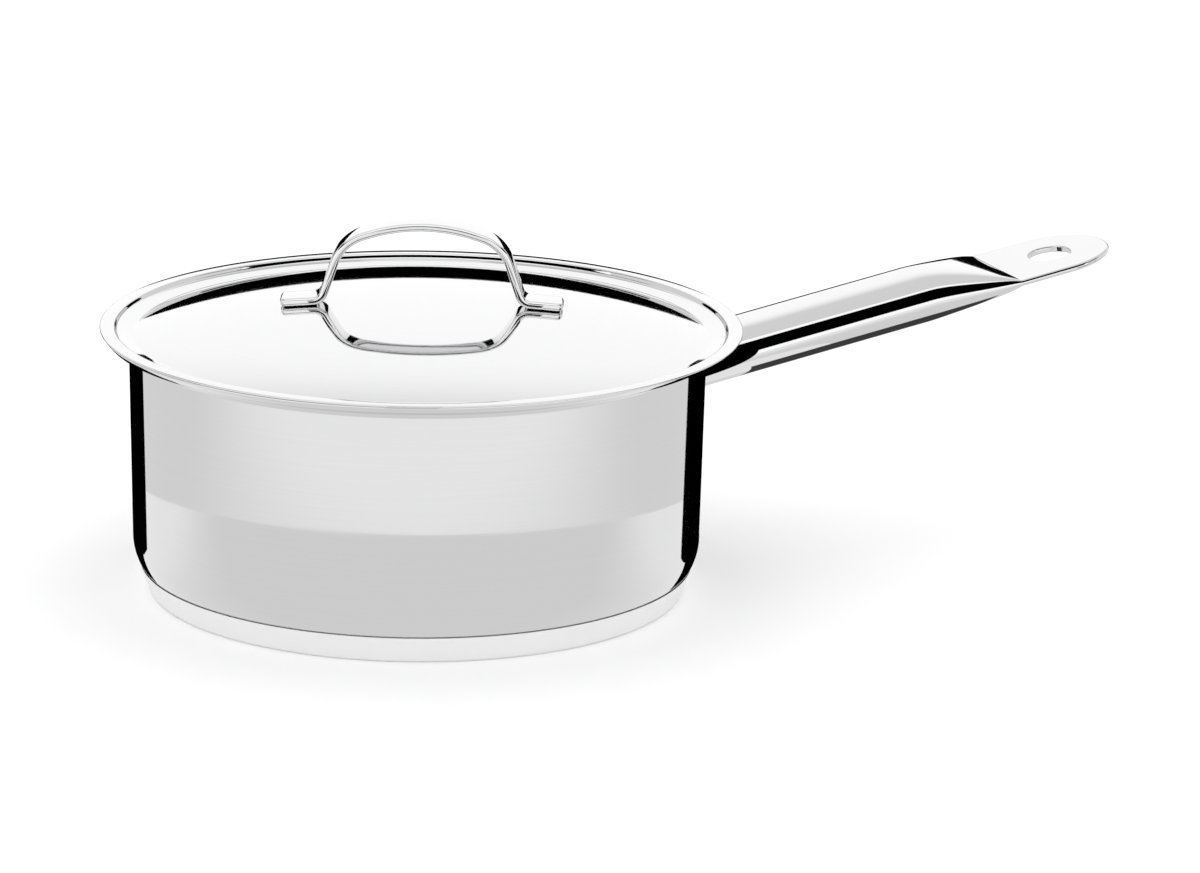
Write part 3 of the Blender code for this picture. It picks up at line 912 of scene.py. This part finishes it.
def rounded_bar(half_width, half_height, radius):
    """Points (across, up) round a flat bar whose corners are rounded."""
    points = []
    corners = ((1, 1, 0), (-1, 1, 1), (-1, -1, 2), (1, -1, 3))
    for side, level, quarter in corners:
        middle = (side * (half_width - radius), level * (half_height - radius))
        for step in range(BEND_STEPS + 1):
            turn = math.pi / 2 * (quarter + step / BEND_STEPS)
            points.append((middle[0] + radius * math.cos(turn), middle[1] + radius * math.sin(turn)))
    return points


def build_lid_strap(sizes):
    strap = sizes.strap
    path = strap_path(sizes.lid, strap)
    walked = [0.0]
    for here, after in zip(path, path[1:]):
        walked.append(walked[-1] + (after - here).length)
    rings = []
    for place, normal, along in zip(path, normals_of(path), walked):
        reach = min(along, walked[-1] - along)
        edge = quarter_inset(reach, strap.edge)
        half_width = strap.width / 2 - quarter_inset(reach, strap.tip) - edge
        half_height = strap.thickness / 2 - edge
        radius = min(strap.edge, half_height * CORNER_SHARE)
        bar = rounded_bar(half_width, half_height, radius)
        rings.append(
            [Vector((place.x + normal.x * up, across, place.y + normal.y * up)) for across, up in bar]
        )
    made = skin_rings("lid_strap", rings, polished_drawn("polished_strap", sizes.finish, 0.0))
    made.data.transform(lid_place(sizes))
    return made


# ---- handle ----


def oval(half_width, half_height, flat):
    """Points (across, up) round a section with a straight top and bottom and two half ellipses."""
    points = []
    for side in (1, -1):
        for step in range(OVAL_STEPS + 1):
            turn = math.pi * (step / OVAL_STEPS - 0.5)
            across = side * (flat + (half_width - flat) * math.cos(turn))
            points.append((across, side * half_height * math.sin(turn)))
    return points


def tube_section(handle, along):
    """(half width, half height, flat) of the handle at a distance from the wall, before its round tip."""
    press_start = handle.length - handle.tab_length - handle.press_length
    pressed = min(max((along - press_start) / handle.press_length, 0), 1)
    smooth = pressed * pressed * (3 - 2 * pressed)
    half_height = handle.half_height + (handle.wall - handle.half_height) * pressed**handle.press_power
    half_width = handle.half_width + (handle.tab_half_width - handle.half_width) * smooth
    flat = handle.flat + (half_width - half_height - handle.flat) * smooth
    return half_width, half_height, flat


def handle_frame(sizes):
    """The handle's own axes: along it, across it, up from it, with its origin on the pan wall."""
    pan, handle = sizes.pan, sizes.handle
    tilt = handle.tilt
    along = Vector((math.cos(tilt), 0, math.sin(tilt)))
    across = Vector((0, 1, 0))
    height = pan.height - pan.rim_depth - handle.half_height / math.cos(tilt) - handle.root_clearance
    start = Vector((radius_at(pan_outside(pan), height), 0, height))
    return Matrix.Translation(start) @ Matrix((along, across, along.cross(across))).transposed().to_4x4()


def reach_wall(outside, place, across, up, offset):
    """How far along the handle the line at (across, up) meets the wall, kept off it by an offset."""
    low, high = -SEARCH_REACH, SEARCH_REACH
    for _ in range(SEARCH_STEPS):
        middle = (low + high) / 2
        point = place @ Vector((middle, across, up))
        if math.hypot(point.x, point.y) < radius_at(outside, point.z) + offset:
            low = middle
        else:
            high = middle
    return high


def root_ring(outside, place, shape, offset):
    return [Vector((reach_wall(outside, place, across, up, offset), across, up)) for across, up in shape]


def ring(shape, along):
    return [Vector((along, across, up)) for across, up in shape]


def grown(section, growth):
    half_width, half_height, flat = section
    return half_width + growth, half_height + growth, min(flat, half_width + 2 * growth)


def press_stations(handle):
    start = handle.length - handle.tab_length - handle.press_length
    return [start - lead for lead in PRESS_LEAD] + [
        start + handle.press_length * step / PRESS_STEPS for step in range(PRESS_STEPS + 1)
    ]


def tab_tip(shape, rows_from, handle):
    """The tab's round end: each row of the round edge swings from one side of the tab to the other."""
    start = handle.length - handle.tip_length
    half_turns = len(rows_from) // 2
    rows = []
    for row in range(half_turns):
        rise = math.pi * (row / (half_turns - 1) - 0.5)
        inset = handle.wall * (1 - math.cos(rise))
        nearness = abs(row - (half_turns - 1) / 2)
        if nearness < 1:
            inset += handle.layer_line
        line = [rows_from[row]]
        for step in range(1, TIP_STEPS):
            swing = math.pi * step / TIP_STEPS
            outline = Vector((handle.tip_length * math.sin(swing), handle.tab_half_width * math.cos(swing)))
            facing = Vector((outline.x / handle.tip_length**2, outline.y / handle.tab_half_width**2))
            point = outline - facing.normalized() * inset
            line.append(shape.verts.new((start + point.x, point.y, handle.wall * math.sin(rise))))
        line.append(rows_from[2 * half_turns - 1 - row])
        rows.append(line)
    for lower, upper in zip(rows, rows[1:]):
        for step in range(TIP_STEPS):
            shape.faces.new((lower[step], lower[step + 1], upper[step + 1], upper[step]))
    shape.faces.new(rows[0])
    shape.faces.new(rows[-1])


def build_tube_handle(sizes):
    handle = sizes.handle
    outside = pan_outside(sizes.pan)
    place = handle_frame(sizes)
    tube = (handle.half_width, handle.half_height, handle.flat)
    bore = grown(tube, -handle.wall)
    hollow = []
    for along in press_stations(handle):
        section = tube_section(handle, along)
        if section[1] - handle.wall > handle.cavity_tip:
            hollow.append(ring(oval(*grown(section, -handle.wall)), along))
    tip_start = handle.length - handle.tip_length
    tab = [ring(oval(*tube_section(handle, along)), along) for along in press_stations(handle)]
    tab.append(ring(oval(*tube_section(handle, tip_start)), tip_start))
    root = root_ring(outside, place, oval(*tube), GAP)
    near_root = [point + Vector((ROOT_BAND, 0, 0)) for point in root]
    rings = hollow[::-1] + [root_ring(outside, place, oval(*bore), GAP), root, near_root] + tab
    mesh = bpy.data.meshes.new("tube_handle")
    shape = bmesh.new()
    rows = join_rings(shape, rings)
    shape.faces.new(rows[0])
    tab_tip(shape, rows[-1], handle)
    shape.to_mesh(mesh)
    shape.free()
    mesh.materials.append(polished_drawn("polished_handle", sizes.finish, handle.tilt))
    made = add_object("tube_handle", mesh)
    close_skin(made, SHARP)
    cut_hanging_hole(made, handle)
    for face in made.data.polygons:
        if abs(face.normal.z) > EVEN and abs(abs(face.center.z) - handle.wall) < MERGE:
            face.use_smooth = False
    made.data.transform(place)
    return made


def cut_hanging_hole(tube, handle):
    """Cuts the round hole through the tab, with its edges rounded over."""
    face, edge, radius = handle.wall, handle.hole_edge, handle.hole_radius
    above = 4 * face
    arc = []
    for step in range(BEND_STEPS + 1):
        turn = HOLE_TURN * (1 - step / BEND_STEPS)
        arc.append(Vector((radius + edge * (1 - math.cos(turn)), face - edge * (1 - math.sin(turn)))))
    upper = [Vector((0, above)), Vector((arc[0].x + above, above))] + arc
    section = upper + [Vector((point.x, -point.y)) for point in reversed(upper)]
    cutter = turned_piece("hole_cutter", section, None)
    cutter.data.transform(Matrix.Translation((handle.length - handle.hole_setback, 0, 0)))
    cut = tube.modifiers.new("Hanging hole", "BOOLEAN")
    cut.operation = "DIFFERENCE"
    cut.solver = "EXACT"
    cut.object = cutter
    replace_mesh(tube)
    bpy.data.objects.remove(cutter)
    tube.data.set_sharp_from_angle(angle=SHARP)


# ---- welds ----


def bead_tree():
    """A weld: overlapping ripples, one after another along a path of edges."""
    tree, given = geometry_tree(
        "weld_bead",
        [
            ("Half Width", "NodeSocketFloat", 0.0009),
            ("Ripple", "NodeSocketFloat", 0.0008),
            ("Unevenness", "NodeSocketFloat", 0.12),
            ("Seed", "NodeSocketInt", 7),
            ("Material", "NodeSocketMaterial", None),
        ],
    )
    route = tree.add("GeometryNodeMeshToCurve", Mesh=given["Geometry"])
    stops = tree.add("GeometryNodeResampleCurve", {"mode": "LENGTH"}, Curve=route.outputs[0])
    tree.tree.links.new(given["Ripple"], stops.inputs["Length"])
    ripple = tree.add("GeometryNodeMeshUVSphere", Segments=16, Rings=10, Radius=given["Half Width"])
    tangent = tree.add("GeometryNodeInputTangent").outputs[0]
    facing = tree.add("FunctionNodeAlignRotationToVector", {"axis": "X"}, Vector=tangent).outputs[0]
    uneven = tree.add(
        "FunctionNodeRandomValue",
        {"data_type": "FLOAT"},
        at_2=tree.maths("SUBTRACT", 1.0, given["Unevenness"]),
        at_3=1.0,
        Seed=given["Seed"],
    ).outputs[1]
    placed = tree.add(
        "GeometryNodeInstanceOnPoints",
        Points=stops.outputs[0],
        Instance=ripple.outputs[0],
        Rotation=facing,
        Scale=uneven,
    )
    return finish_tree(tree, placed.outputs[0], given["Material"])


def build_root_weld(sizes):
    """The weld that runs round the handle's root, where the tube meets the wall."""
    handle, weld = sizes.handle, sizes.weld
    place = handle_frame(sizes)
    shape = oval(*grown((handle.half_width, handle.half_height, handle.flat), weld.bead * BEAD_GROWTH))
    path = root_ring(pan_outside(sizes.pan), place, shape, weld.bead * BEAD_LIFT)
    mesh = bpy.data.meshes.new("root_weld")
    edges = [(index, (index + 1) % len(path)) for index in range(len(path))]
    mesh.from_pydata([place @ point for point in path], edges, [])
    made = add_object("root_weld", mesh)
    steel = weld_steel("weld_metal", sizes.finish)
    run_tree(made, bead_tree(), Half_Width=weld.bead, Ripple=weld.ripple, Material=steel)
    return shade_smooth(made)


def spot_tree():
    """Shallow round marks on points, each standing along the point's own normal."""
    tree, given = geometry_tree(
        "spot_marks",
        [
            ("Radius", "NodeSocketFloat", 0.002),
            ("Height", "NodeSocketFloat", 0.00012),
            ("Material", "NodeSocketMaterial", None),
        ],
    )
    mark = tree.add("GeometryNodeMeshUVSphere", Segments=40, Rings=20, Radius=given["Radius"])
    flat = tree.maths("DIVIDE", given["Height"], given["Radius"])
    scale = tree.add("ShaderNodeCombineXYZ", X=1.0, Y=1.0, Z=flat).outputs[0]
    normal = tree.add("GeometryNodeInputNamedAttribute", {"data_type": "FLOAT_VECTOR"}, Name="facing")
    facing = tree.add("FunctionNodeAlignRotationToVector", {"axis": "Z"}, Vector=normal.outputs[0])
    placed = tree.add(
        "GeometryNodeInstanceOnPoints",
        Points=given["Geometry"],
        Instance=mark.outputs[0],
        Rotation=facing.outputs[0],
        Scale=scale,
    )
    return finish_tree(tree, placed.outputs[0], given["Material"])


def spot_marks(name, places, facings, sizes, material):
    mesh = bpy.data.meshes.new(name)
    mesh.from_pydata(places, [], [])
    facing = mesh.attributes.new("facing", "FLOAT_VECTOR", "POINT")
    for item, direction in zip(facing.data, facings):
        item.vector = direction
    made = add_object(name, mesh)
    tree = bpy.data.node_groups.get("spot_marks") or spot_tree()
    run_tree(made, tree, Radius=sizes.weld.spot, Material=material)
    return shade_smooth(made)


def build_wall_spots(sizes):
    """Four marks inside the pan, where the bracket is spot welded to the wall."""
    pan, handle = sizes.pan, sizes.handle
    place = handle_frame(sizes)
    outside = pan_outside(pan)
    places, facings = [], []
    for across in (-handle.half_width * SPOTS_ACROSS, handle.half_width * SPOTS_ACROSS):
        for up in (-handle.half_height * SPOTS_UP, handle.half_height * SPOTS_UP):
            on_wall = Vector((reach_wall(outside, place, across, up, 0.0), across, up))
            point = place @ on_wall
            outwards = Vector((point.x, point.y, 0)).normalized()
            places.append(point - outwards * pan.wall)
            facings.append(-outwards)
    steel = brushed_turned("spot_metal", sizes.finish)
    return spot_marks("wall_spots", places, facings, sizes, steel)


def build_lid_spots(sizes):
    """Two marks under each foot of the lid's handle."""
    lid, strap = sizes.lid, sizes.strap
    place = lid_place(sizes)
    places, facings = [], []
    foot = (strap.reach + strap.leg_reach + strap.leg_bend) / 2
    for side in (1, -1):
        for across in (-strap.width / 4, strap.width / 4):
            slope = dome_slope(lid, foot)
            under = Vector((side * foot, across, dome_height(lid, foot) - lid.sheet / math.cos(slope)))
            places.append(place @ under)
            facings.append(place.to_3x3() @ Vector((-side * math.sin(slope), 0, -math.cos(slope))))
    steel = brushed_turned("lid_spot_metal", sizes.finish, LID_MIDDLE)
    return spot_marks("lid_spots", places, facings, sizes, steel)


# ---- studio ----


def studio_point(side, ahead, height):
    """A point measured from the pan's axis: to the right, towards the camera, and up."""
    return Vector((*(RIGHT * side + TOWARDS * ahead), height))


def round_point(reach, swing, height):
    """A point at a reach and a swing from the way to the camera, to the right when positive."""
    return studio_point(reach * math.sin(swing), reach * math.cos(swing), height)


def card(name, rows, material, seen=False):
    """A sheet of faces over rows of points. Unless seen, only reflections show it."""
    mesh = bpy.data.meshes.new(name)
    count = len(rows[0])
    faces = []
    for row in range(len(rows) - 1):
        start = row * count
        for index in range(start, start + count - 1):
            faces.append((index, index + 1, index + count + 1, index + count))
    mesh.from_pydata([point for row in rows for point in row], [], faces)
    mesh.materials.append(material)
    made = add_object(name, mesh)
    if not seen:
        made.visible_camera = False
        made.visible_diffuse = False
        made.visible_shadow = False
        made.visible_transmission = False
    return made


def glow(name, near, far=None, way=(0, 0, 0), reach=(0.0, 1.0)):
    """An even light, or one that changes along a way, both to its left and to its right."""
    made = bpy.data.materials.new(name)
    made.use_nodes = True
    made.node_tree.nodes.clear()
    tree = Tree(made.node_tree)
    light = tree.add("ShaderNodeEmission", Strength=near)
    light.inputs["Color"].default_value = (1, 1, 1, 1)
    if far is not None:
        place = tree.add("ShaderNodeTexCoord").outputs["Object"]
        along = tree.add("ShaderNodeVectorMath", {"operation": "DOT_PRODUCT"}, at_0=place)
        along.inputs[1].default_value = way
        fade = tree.add(
            "ShaderNodeMapRange",
            {"interpolation_type": "SMOOTHSTEP"},
            Value=along.outputs["Value"],
            From_Min=reach[0],
            From_Max=reach[1],
            To_Min=near,
            To_Max=far,
        )
        tree.tree.links.new(fade.outputs["Result"], light.inputs["Strength"])
    tree.add("ShaderNodeOutputMaterial", Surface=light.outputs[0])
    return made


def sky_card(name, reach, swings, climbs, material, steps=24, rows=8):
    """A card bent round a point on the lid, between two swings and two climbs in degrees."""
    points = []
    for climb in between(*map(math.radians, climbs), rows):
        points.append(
            [
                round_point(reach * math.cos(climb), swing, LID_LEVEL + reach * math.sin(climb))
                for swing in between(*map(math.radians, swings), steps)
            ]
        )
    return card(name, points, material)


def floor_card(name, reaches, swings, level, material, steps=96):
    """A card that lies on the floor between two reaches from the pan's axis."""
    turns = between(*map(math.radians, swings), steps)
    return card(name, [[round_point(reach, turn, level) for turn in turns] for reach in reaches], material)


def build_studio(sizes):
    studio = sizes.studio
    floor, _, shader = new_material("studio_floor", studio.floor_tone, 0.0)
    shader.inputs["Roughness"].default_value = 0.9
    shader.inputs["Specular IOR Level"].default_value = 0.1
    ends = (-FLOOR_REACH, FLOOR_REACH)
    edges = [[(across, along, 0) for across in ends] for along in ends]
    card("floor", edges, floor, seen=True).visible_glossy = False
    tones = (studio.side_floor, studio.front_floor)
    card("floor_light", edges, glow("floor_glow", *tones, (*TOWARDS, 0), FLOOR_FADE))
    build_near_card(sizes)
    build_soft_light(sizes)
    build_flags(sizes)
    world = bpy.data.worlds.new("studio_world")
    bpy.context.scene.world = world
    world.use_nodes = True
    background = world.node_tree.nodes["Background"]
    background.inputs["Color"].default_value = (1, 1, 1, 1)
    background.inputs["Strength"].default_value = studio.light
    add_camera(studio)
    bpy.context.scene.view_settings.view_transform = "Standard"


def build_near_card(sizes):
    """A painted reflection of the floor close round the pan: a glowing card, seen only in reflections, darker
    towards the camera and lighter at its sides, which the wall mirrors in its lower part.
    """
    edge = []
    for degrees in between(-NEAR_SWING, NEAR_SWING, NEAR_STEPS):
        swing = math.radians(degrees)
        start = round_point(wall_radius(sizes.pan), swing, NEAR_LEVEL)
        edge.append(start + round_point(sizes.studio.near_reach, 2 * swing, 0))
    middle = [Vector((0, 0, NEAR_LEVEL))] * len(edge)
    tones = (sizes.studio.near_side, sizes.studio.near_front)
    card("near_floor", [middle, edge], glow("near_glow", *tones, (*TOWARDS, 0), NEAR_FADE))


def build_soft_light(sizes):
    """A wide soft light behind the pan, brightest straight behind it, which the lid's dome mirrors."""
    studio = sizes.studio
    brightest = round_point(math.cos(SOFT_CLIMB), math.pi, math.sin(SOFT_CLIMB))
    fade = (SOFT_REACH * math.cos(SOFT_SPREAD), SOFT_REACH * SOFT_CORE)
    light = glow("soft_light", studio.soft_side, studio.soft_middle, brightest, fade)
    sky_card("soft_light", SOFT_REACH, SOFT_SWINGS, SOFT_CLIMBS, light, steps=48, rows=24)


def build_side_flags(sizes, black):
    """On each side of the pan, a black strip on the floor and a black fence beside the wall."""
    wall = wall_radius(sizes.pan)
    for side in (1, -1):
        swings = [side * math.radians(swing) for swing in SIDE_FLOOR_SWINGS]
        near = [round_point(wall * SIDE_FLOOR_START, swing, FLAG_LEVEL) for swing in swings]
        far = [
            start + round_point(SIDE_FLOOR_LENGTH, 2 * swing, 0) for start, swing in zip(near, swings)
        ]
        card("side_floor_flag", [near, far], black)
        fence = side * math.radians(FENCE_SWING)
        upright = [
            [round_point(wall + reach, fence, height) for reach in FENCE_REACHES]
            for height in (FLAG_LEVEL, sizes.pan.height - sizes.pan.rim_depth)
        ]
        card("side_flag", upright, black)


def build_flags(sizes):
    """Black flags, and a black disc of painted shadow under the base, whose mirror images draw the dark lines
    on the polished steel.
    """
    black = glow("flag_black", sizes.studio.flag)
    build_side_flags(sizes, black)
    turns = [math.radians(turn) for turn in BACK_TURNS]
    back = [[round_point(BACK_REACH, turn, height) for turn in turns] for height in BACK_HEIGHTS]
    card("back_flag", back, black)
    for name, swings, climbs in FRONT_FLAGS:
        sky_card(name, FRONT_REACH, swings, climbs, black)
    # A black disc under the base: painted contact shadow, mirrored as a dark line round the cap's foot.
    floor_card("painted_base_shadow", (0.0, BASE_SHADOW_RADIUS), (0, 360), BASE_SHADOW_LEVEL, black)
    build_handle_flags(sizes, black)


def build_handle_flags(sizes, black):
    """A black strip along the near side of the long handle, and a dark one close under it."""
    handle = sizes.handle
    place = handle_frame(sizes)
    arch = []
    for climb in between(*map(math.radians, ARCH_CLIMBS), ARCH_STEPS):
        across = -handle.half_width - ARCH_REACH * math.cos(climb)
        height = ARCH_REACH * math.sin(climb)
        arch.append([place @ Vector((along, across, height)) for along in ARCH_ALONG])
    card("handle_flag", arch, black)
    drop = -handle.half_height - UNDER_DROP
    rows = [
        [place @ Vector((along, across, drop)) for across in (-UNDER_HALF_WIDTH, UNDER_HALF_WIDTH)]
        for along in (UNDER_START, handle.length - handle.tab_length)
    ]
    card("under_flag", rows, glow("under_black", sizes.studio.under_flag))


def add_camera(studio):
    data = bpy.data.cameras.new("camera")
    data.lens = studio.lens
    data.sensor_width = SENSOR_WIDTH
    data.clip_start = NEAREST
    data.clip_end = FARTHEST
    camera = bpy.data.objects.new("camera", data)
    bpy.context.scene.collection.objects.link(camera)
    ahead = view_direction()
    level = ahead.cross(Vector((0, 0, 1))).normalized()
    upright = level.cross(ahead)
    right = math.cos(ROLL) * level + math.sin(ROLL) * upright
    above = math.cos(ROLL) * upright - math.sin(ROLL) * level
    turn = Matrix((right, above, -ahead)).transposed().to_4x4()
    camera.matrix_world = Matrix.Translation(AIM - ahead * studio.distance) @ turn
    bpy.context.scene.camera = camera


def view_direction():
    return Vector(
        (math.sin(HEADING) * math.cos(DIP), math.cos(HEADING) * math.cos(DIP), -math.sin(DIP))
    )


# ---- operators ----


def settle(piece, body, slot, *nodes):
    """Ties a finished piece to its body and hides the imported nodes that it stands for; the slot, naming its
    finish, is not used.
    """
    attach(piece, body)
    if nodes:
        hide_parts(*nodes)


class SAUCEPAN_OT_pan(Operator):
    """Build the drawn steel body with the ledge and lip of its rim"""

    bl_idname = "saucepan.build_pan"
    bl_label = "Pan body"

    def execute(self, context):
        settle(build_pan_shell(context.scene.saucepan), "pan", "polished_steel", "pan_body")
        return {"FINISHED"}


class SAUCEPAN_OT_base(Operator):
    """Build the pressed cap of the base and finish the core inside it"""

    bl_idname = "saucepan.build_base"
    bl_label = "Base"

    def execute(self, context):
        sizes = context.scene.saucepan
        settle(build_cap(sizes), "pan", "polished_steel", "base_cap")
        paint_node("base_core", cut_aluminium("core_aluminium", sizes.finish))
        return {"FINISHED"}


class SAUCEPAN_OT_handle(Operator):
    """Build the long tube handle and finish the bracket inside its root"""

    bl_idname = "saucepan.build_handle"
    bl_label = "Long handle"

    def execute(self, context):
        sizes = context.scene.saucepan
        settle(build_tube_handle(sizes), "pan", "polished_steel", "handle_tube")
        paint_node("handle_bracket", brushed_turned("brushed_bracket", sizes.finish))
        return {"FINISHED"}


class SAUCEPAN_OT_lid(Operator):
    """Build the domed lid"""

    bl_idname = "saucepan.build_lid"
    bl_label = "Lid"

    def execute(self, context):
        settle(build_lid_shell(context.scene.saucepan), "lid", "polished_steel", "lid_plate")
        return {"FINISHED"}


class SAUCEPAN_OT_strap(Operator):
    """Build the bent strap that is the lid's handle"""

    bl_idname = "saucepan.build_strap"
    bl_label = "Lid handle"

    def execute(self, context):
        settle(build_lid_strap(context.scene.saucepan), "lid", "polished_steel", "lid_handle")
        return {"FINISHED"}


class SAUCEPAN_OT_welds(Operator):
    """Build the weld round the handle's root and the marks of the spot welds"""

    bl_idname = "saucepan.build_welds"
    bl_label = "Welds"

    def execute(self, context):
        sizes = context.scene.saucepan
        settle(build_root_weld(sizes), "pan", "satin_steel")
        settle(build_wall_spots(sizes), "pan", "satin_steel")
        settle(build_lid_spots(sizes), "lid", "satin_steel")
        return {"FINISHED"}


class SAUCEPAN_OT_studio(Operator):
    """Build the floor, the light, the cards that only reflections show, and the camera"""

    bl_idname = "saucepan.build_studio"
    bl_label = "Studio"

    def execute(self, context):
        build_studio(context.scene.saucepan)
        return {"FINISHED"}


BUILDERS = (
    SAUCEPAN_OT_pan,
    SAUCEPAN_OT_base,
    SAUCEPAN_OT_handle,
    SAUCEPAN_OT_lid,
    SAUCEPAN_OT_strap,
    SAUCEPAN_OT_welds,
    SAUCEPAN_OT_studio,
)


class SAUCEPAN_PT_panel(Panel):
    """Lists the saucepan's builders"""

    bl_idname = "SAUCEPAN_PT_panel"
    bl_label = "Steel Saucepan"
    bl_space_type = "VIEW_3D"
    bl_region_type = "UI"
    bl_category = "Saucepan"

    def draw(self, context):
        for builder in BUILDERS:
            self.layout.operator(builder.bl_idname)


GROUPS = (PanSizes, BaseSizes, LidSizes, StrapSizes, HandleSizes, WeldSizes, Finishes, Studio, Saucepan)
CLASSES = GROUPS + BUILDERS + (SAUCEPAN_PT_panel,)


def register():
    for made in CLASSES:
        bpy.utils.register_class(made)
    bpy.types.Scene.saucepan = PointerProperty(type=Saucepan)


def unregister():
    del bpy.types.Scene.saucepan
    for made in reversed(CLASSES):
        bpy.utils.unregister_class(made)


def paint_node(name, material):
    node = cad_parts[name]
    node.data.materials.clear()
    node.data.materials.append(material)


def main():
    register()
    for builder in BUILDERS:
        family, action = builder.bl_idname.split(".")
        getattr(getattr(bpy.ops, family), action)()


if __name__ == "__main__":
    main()
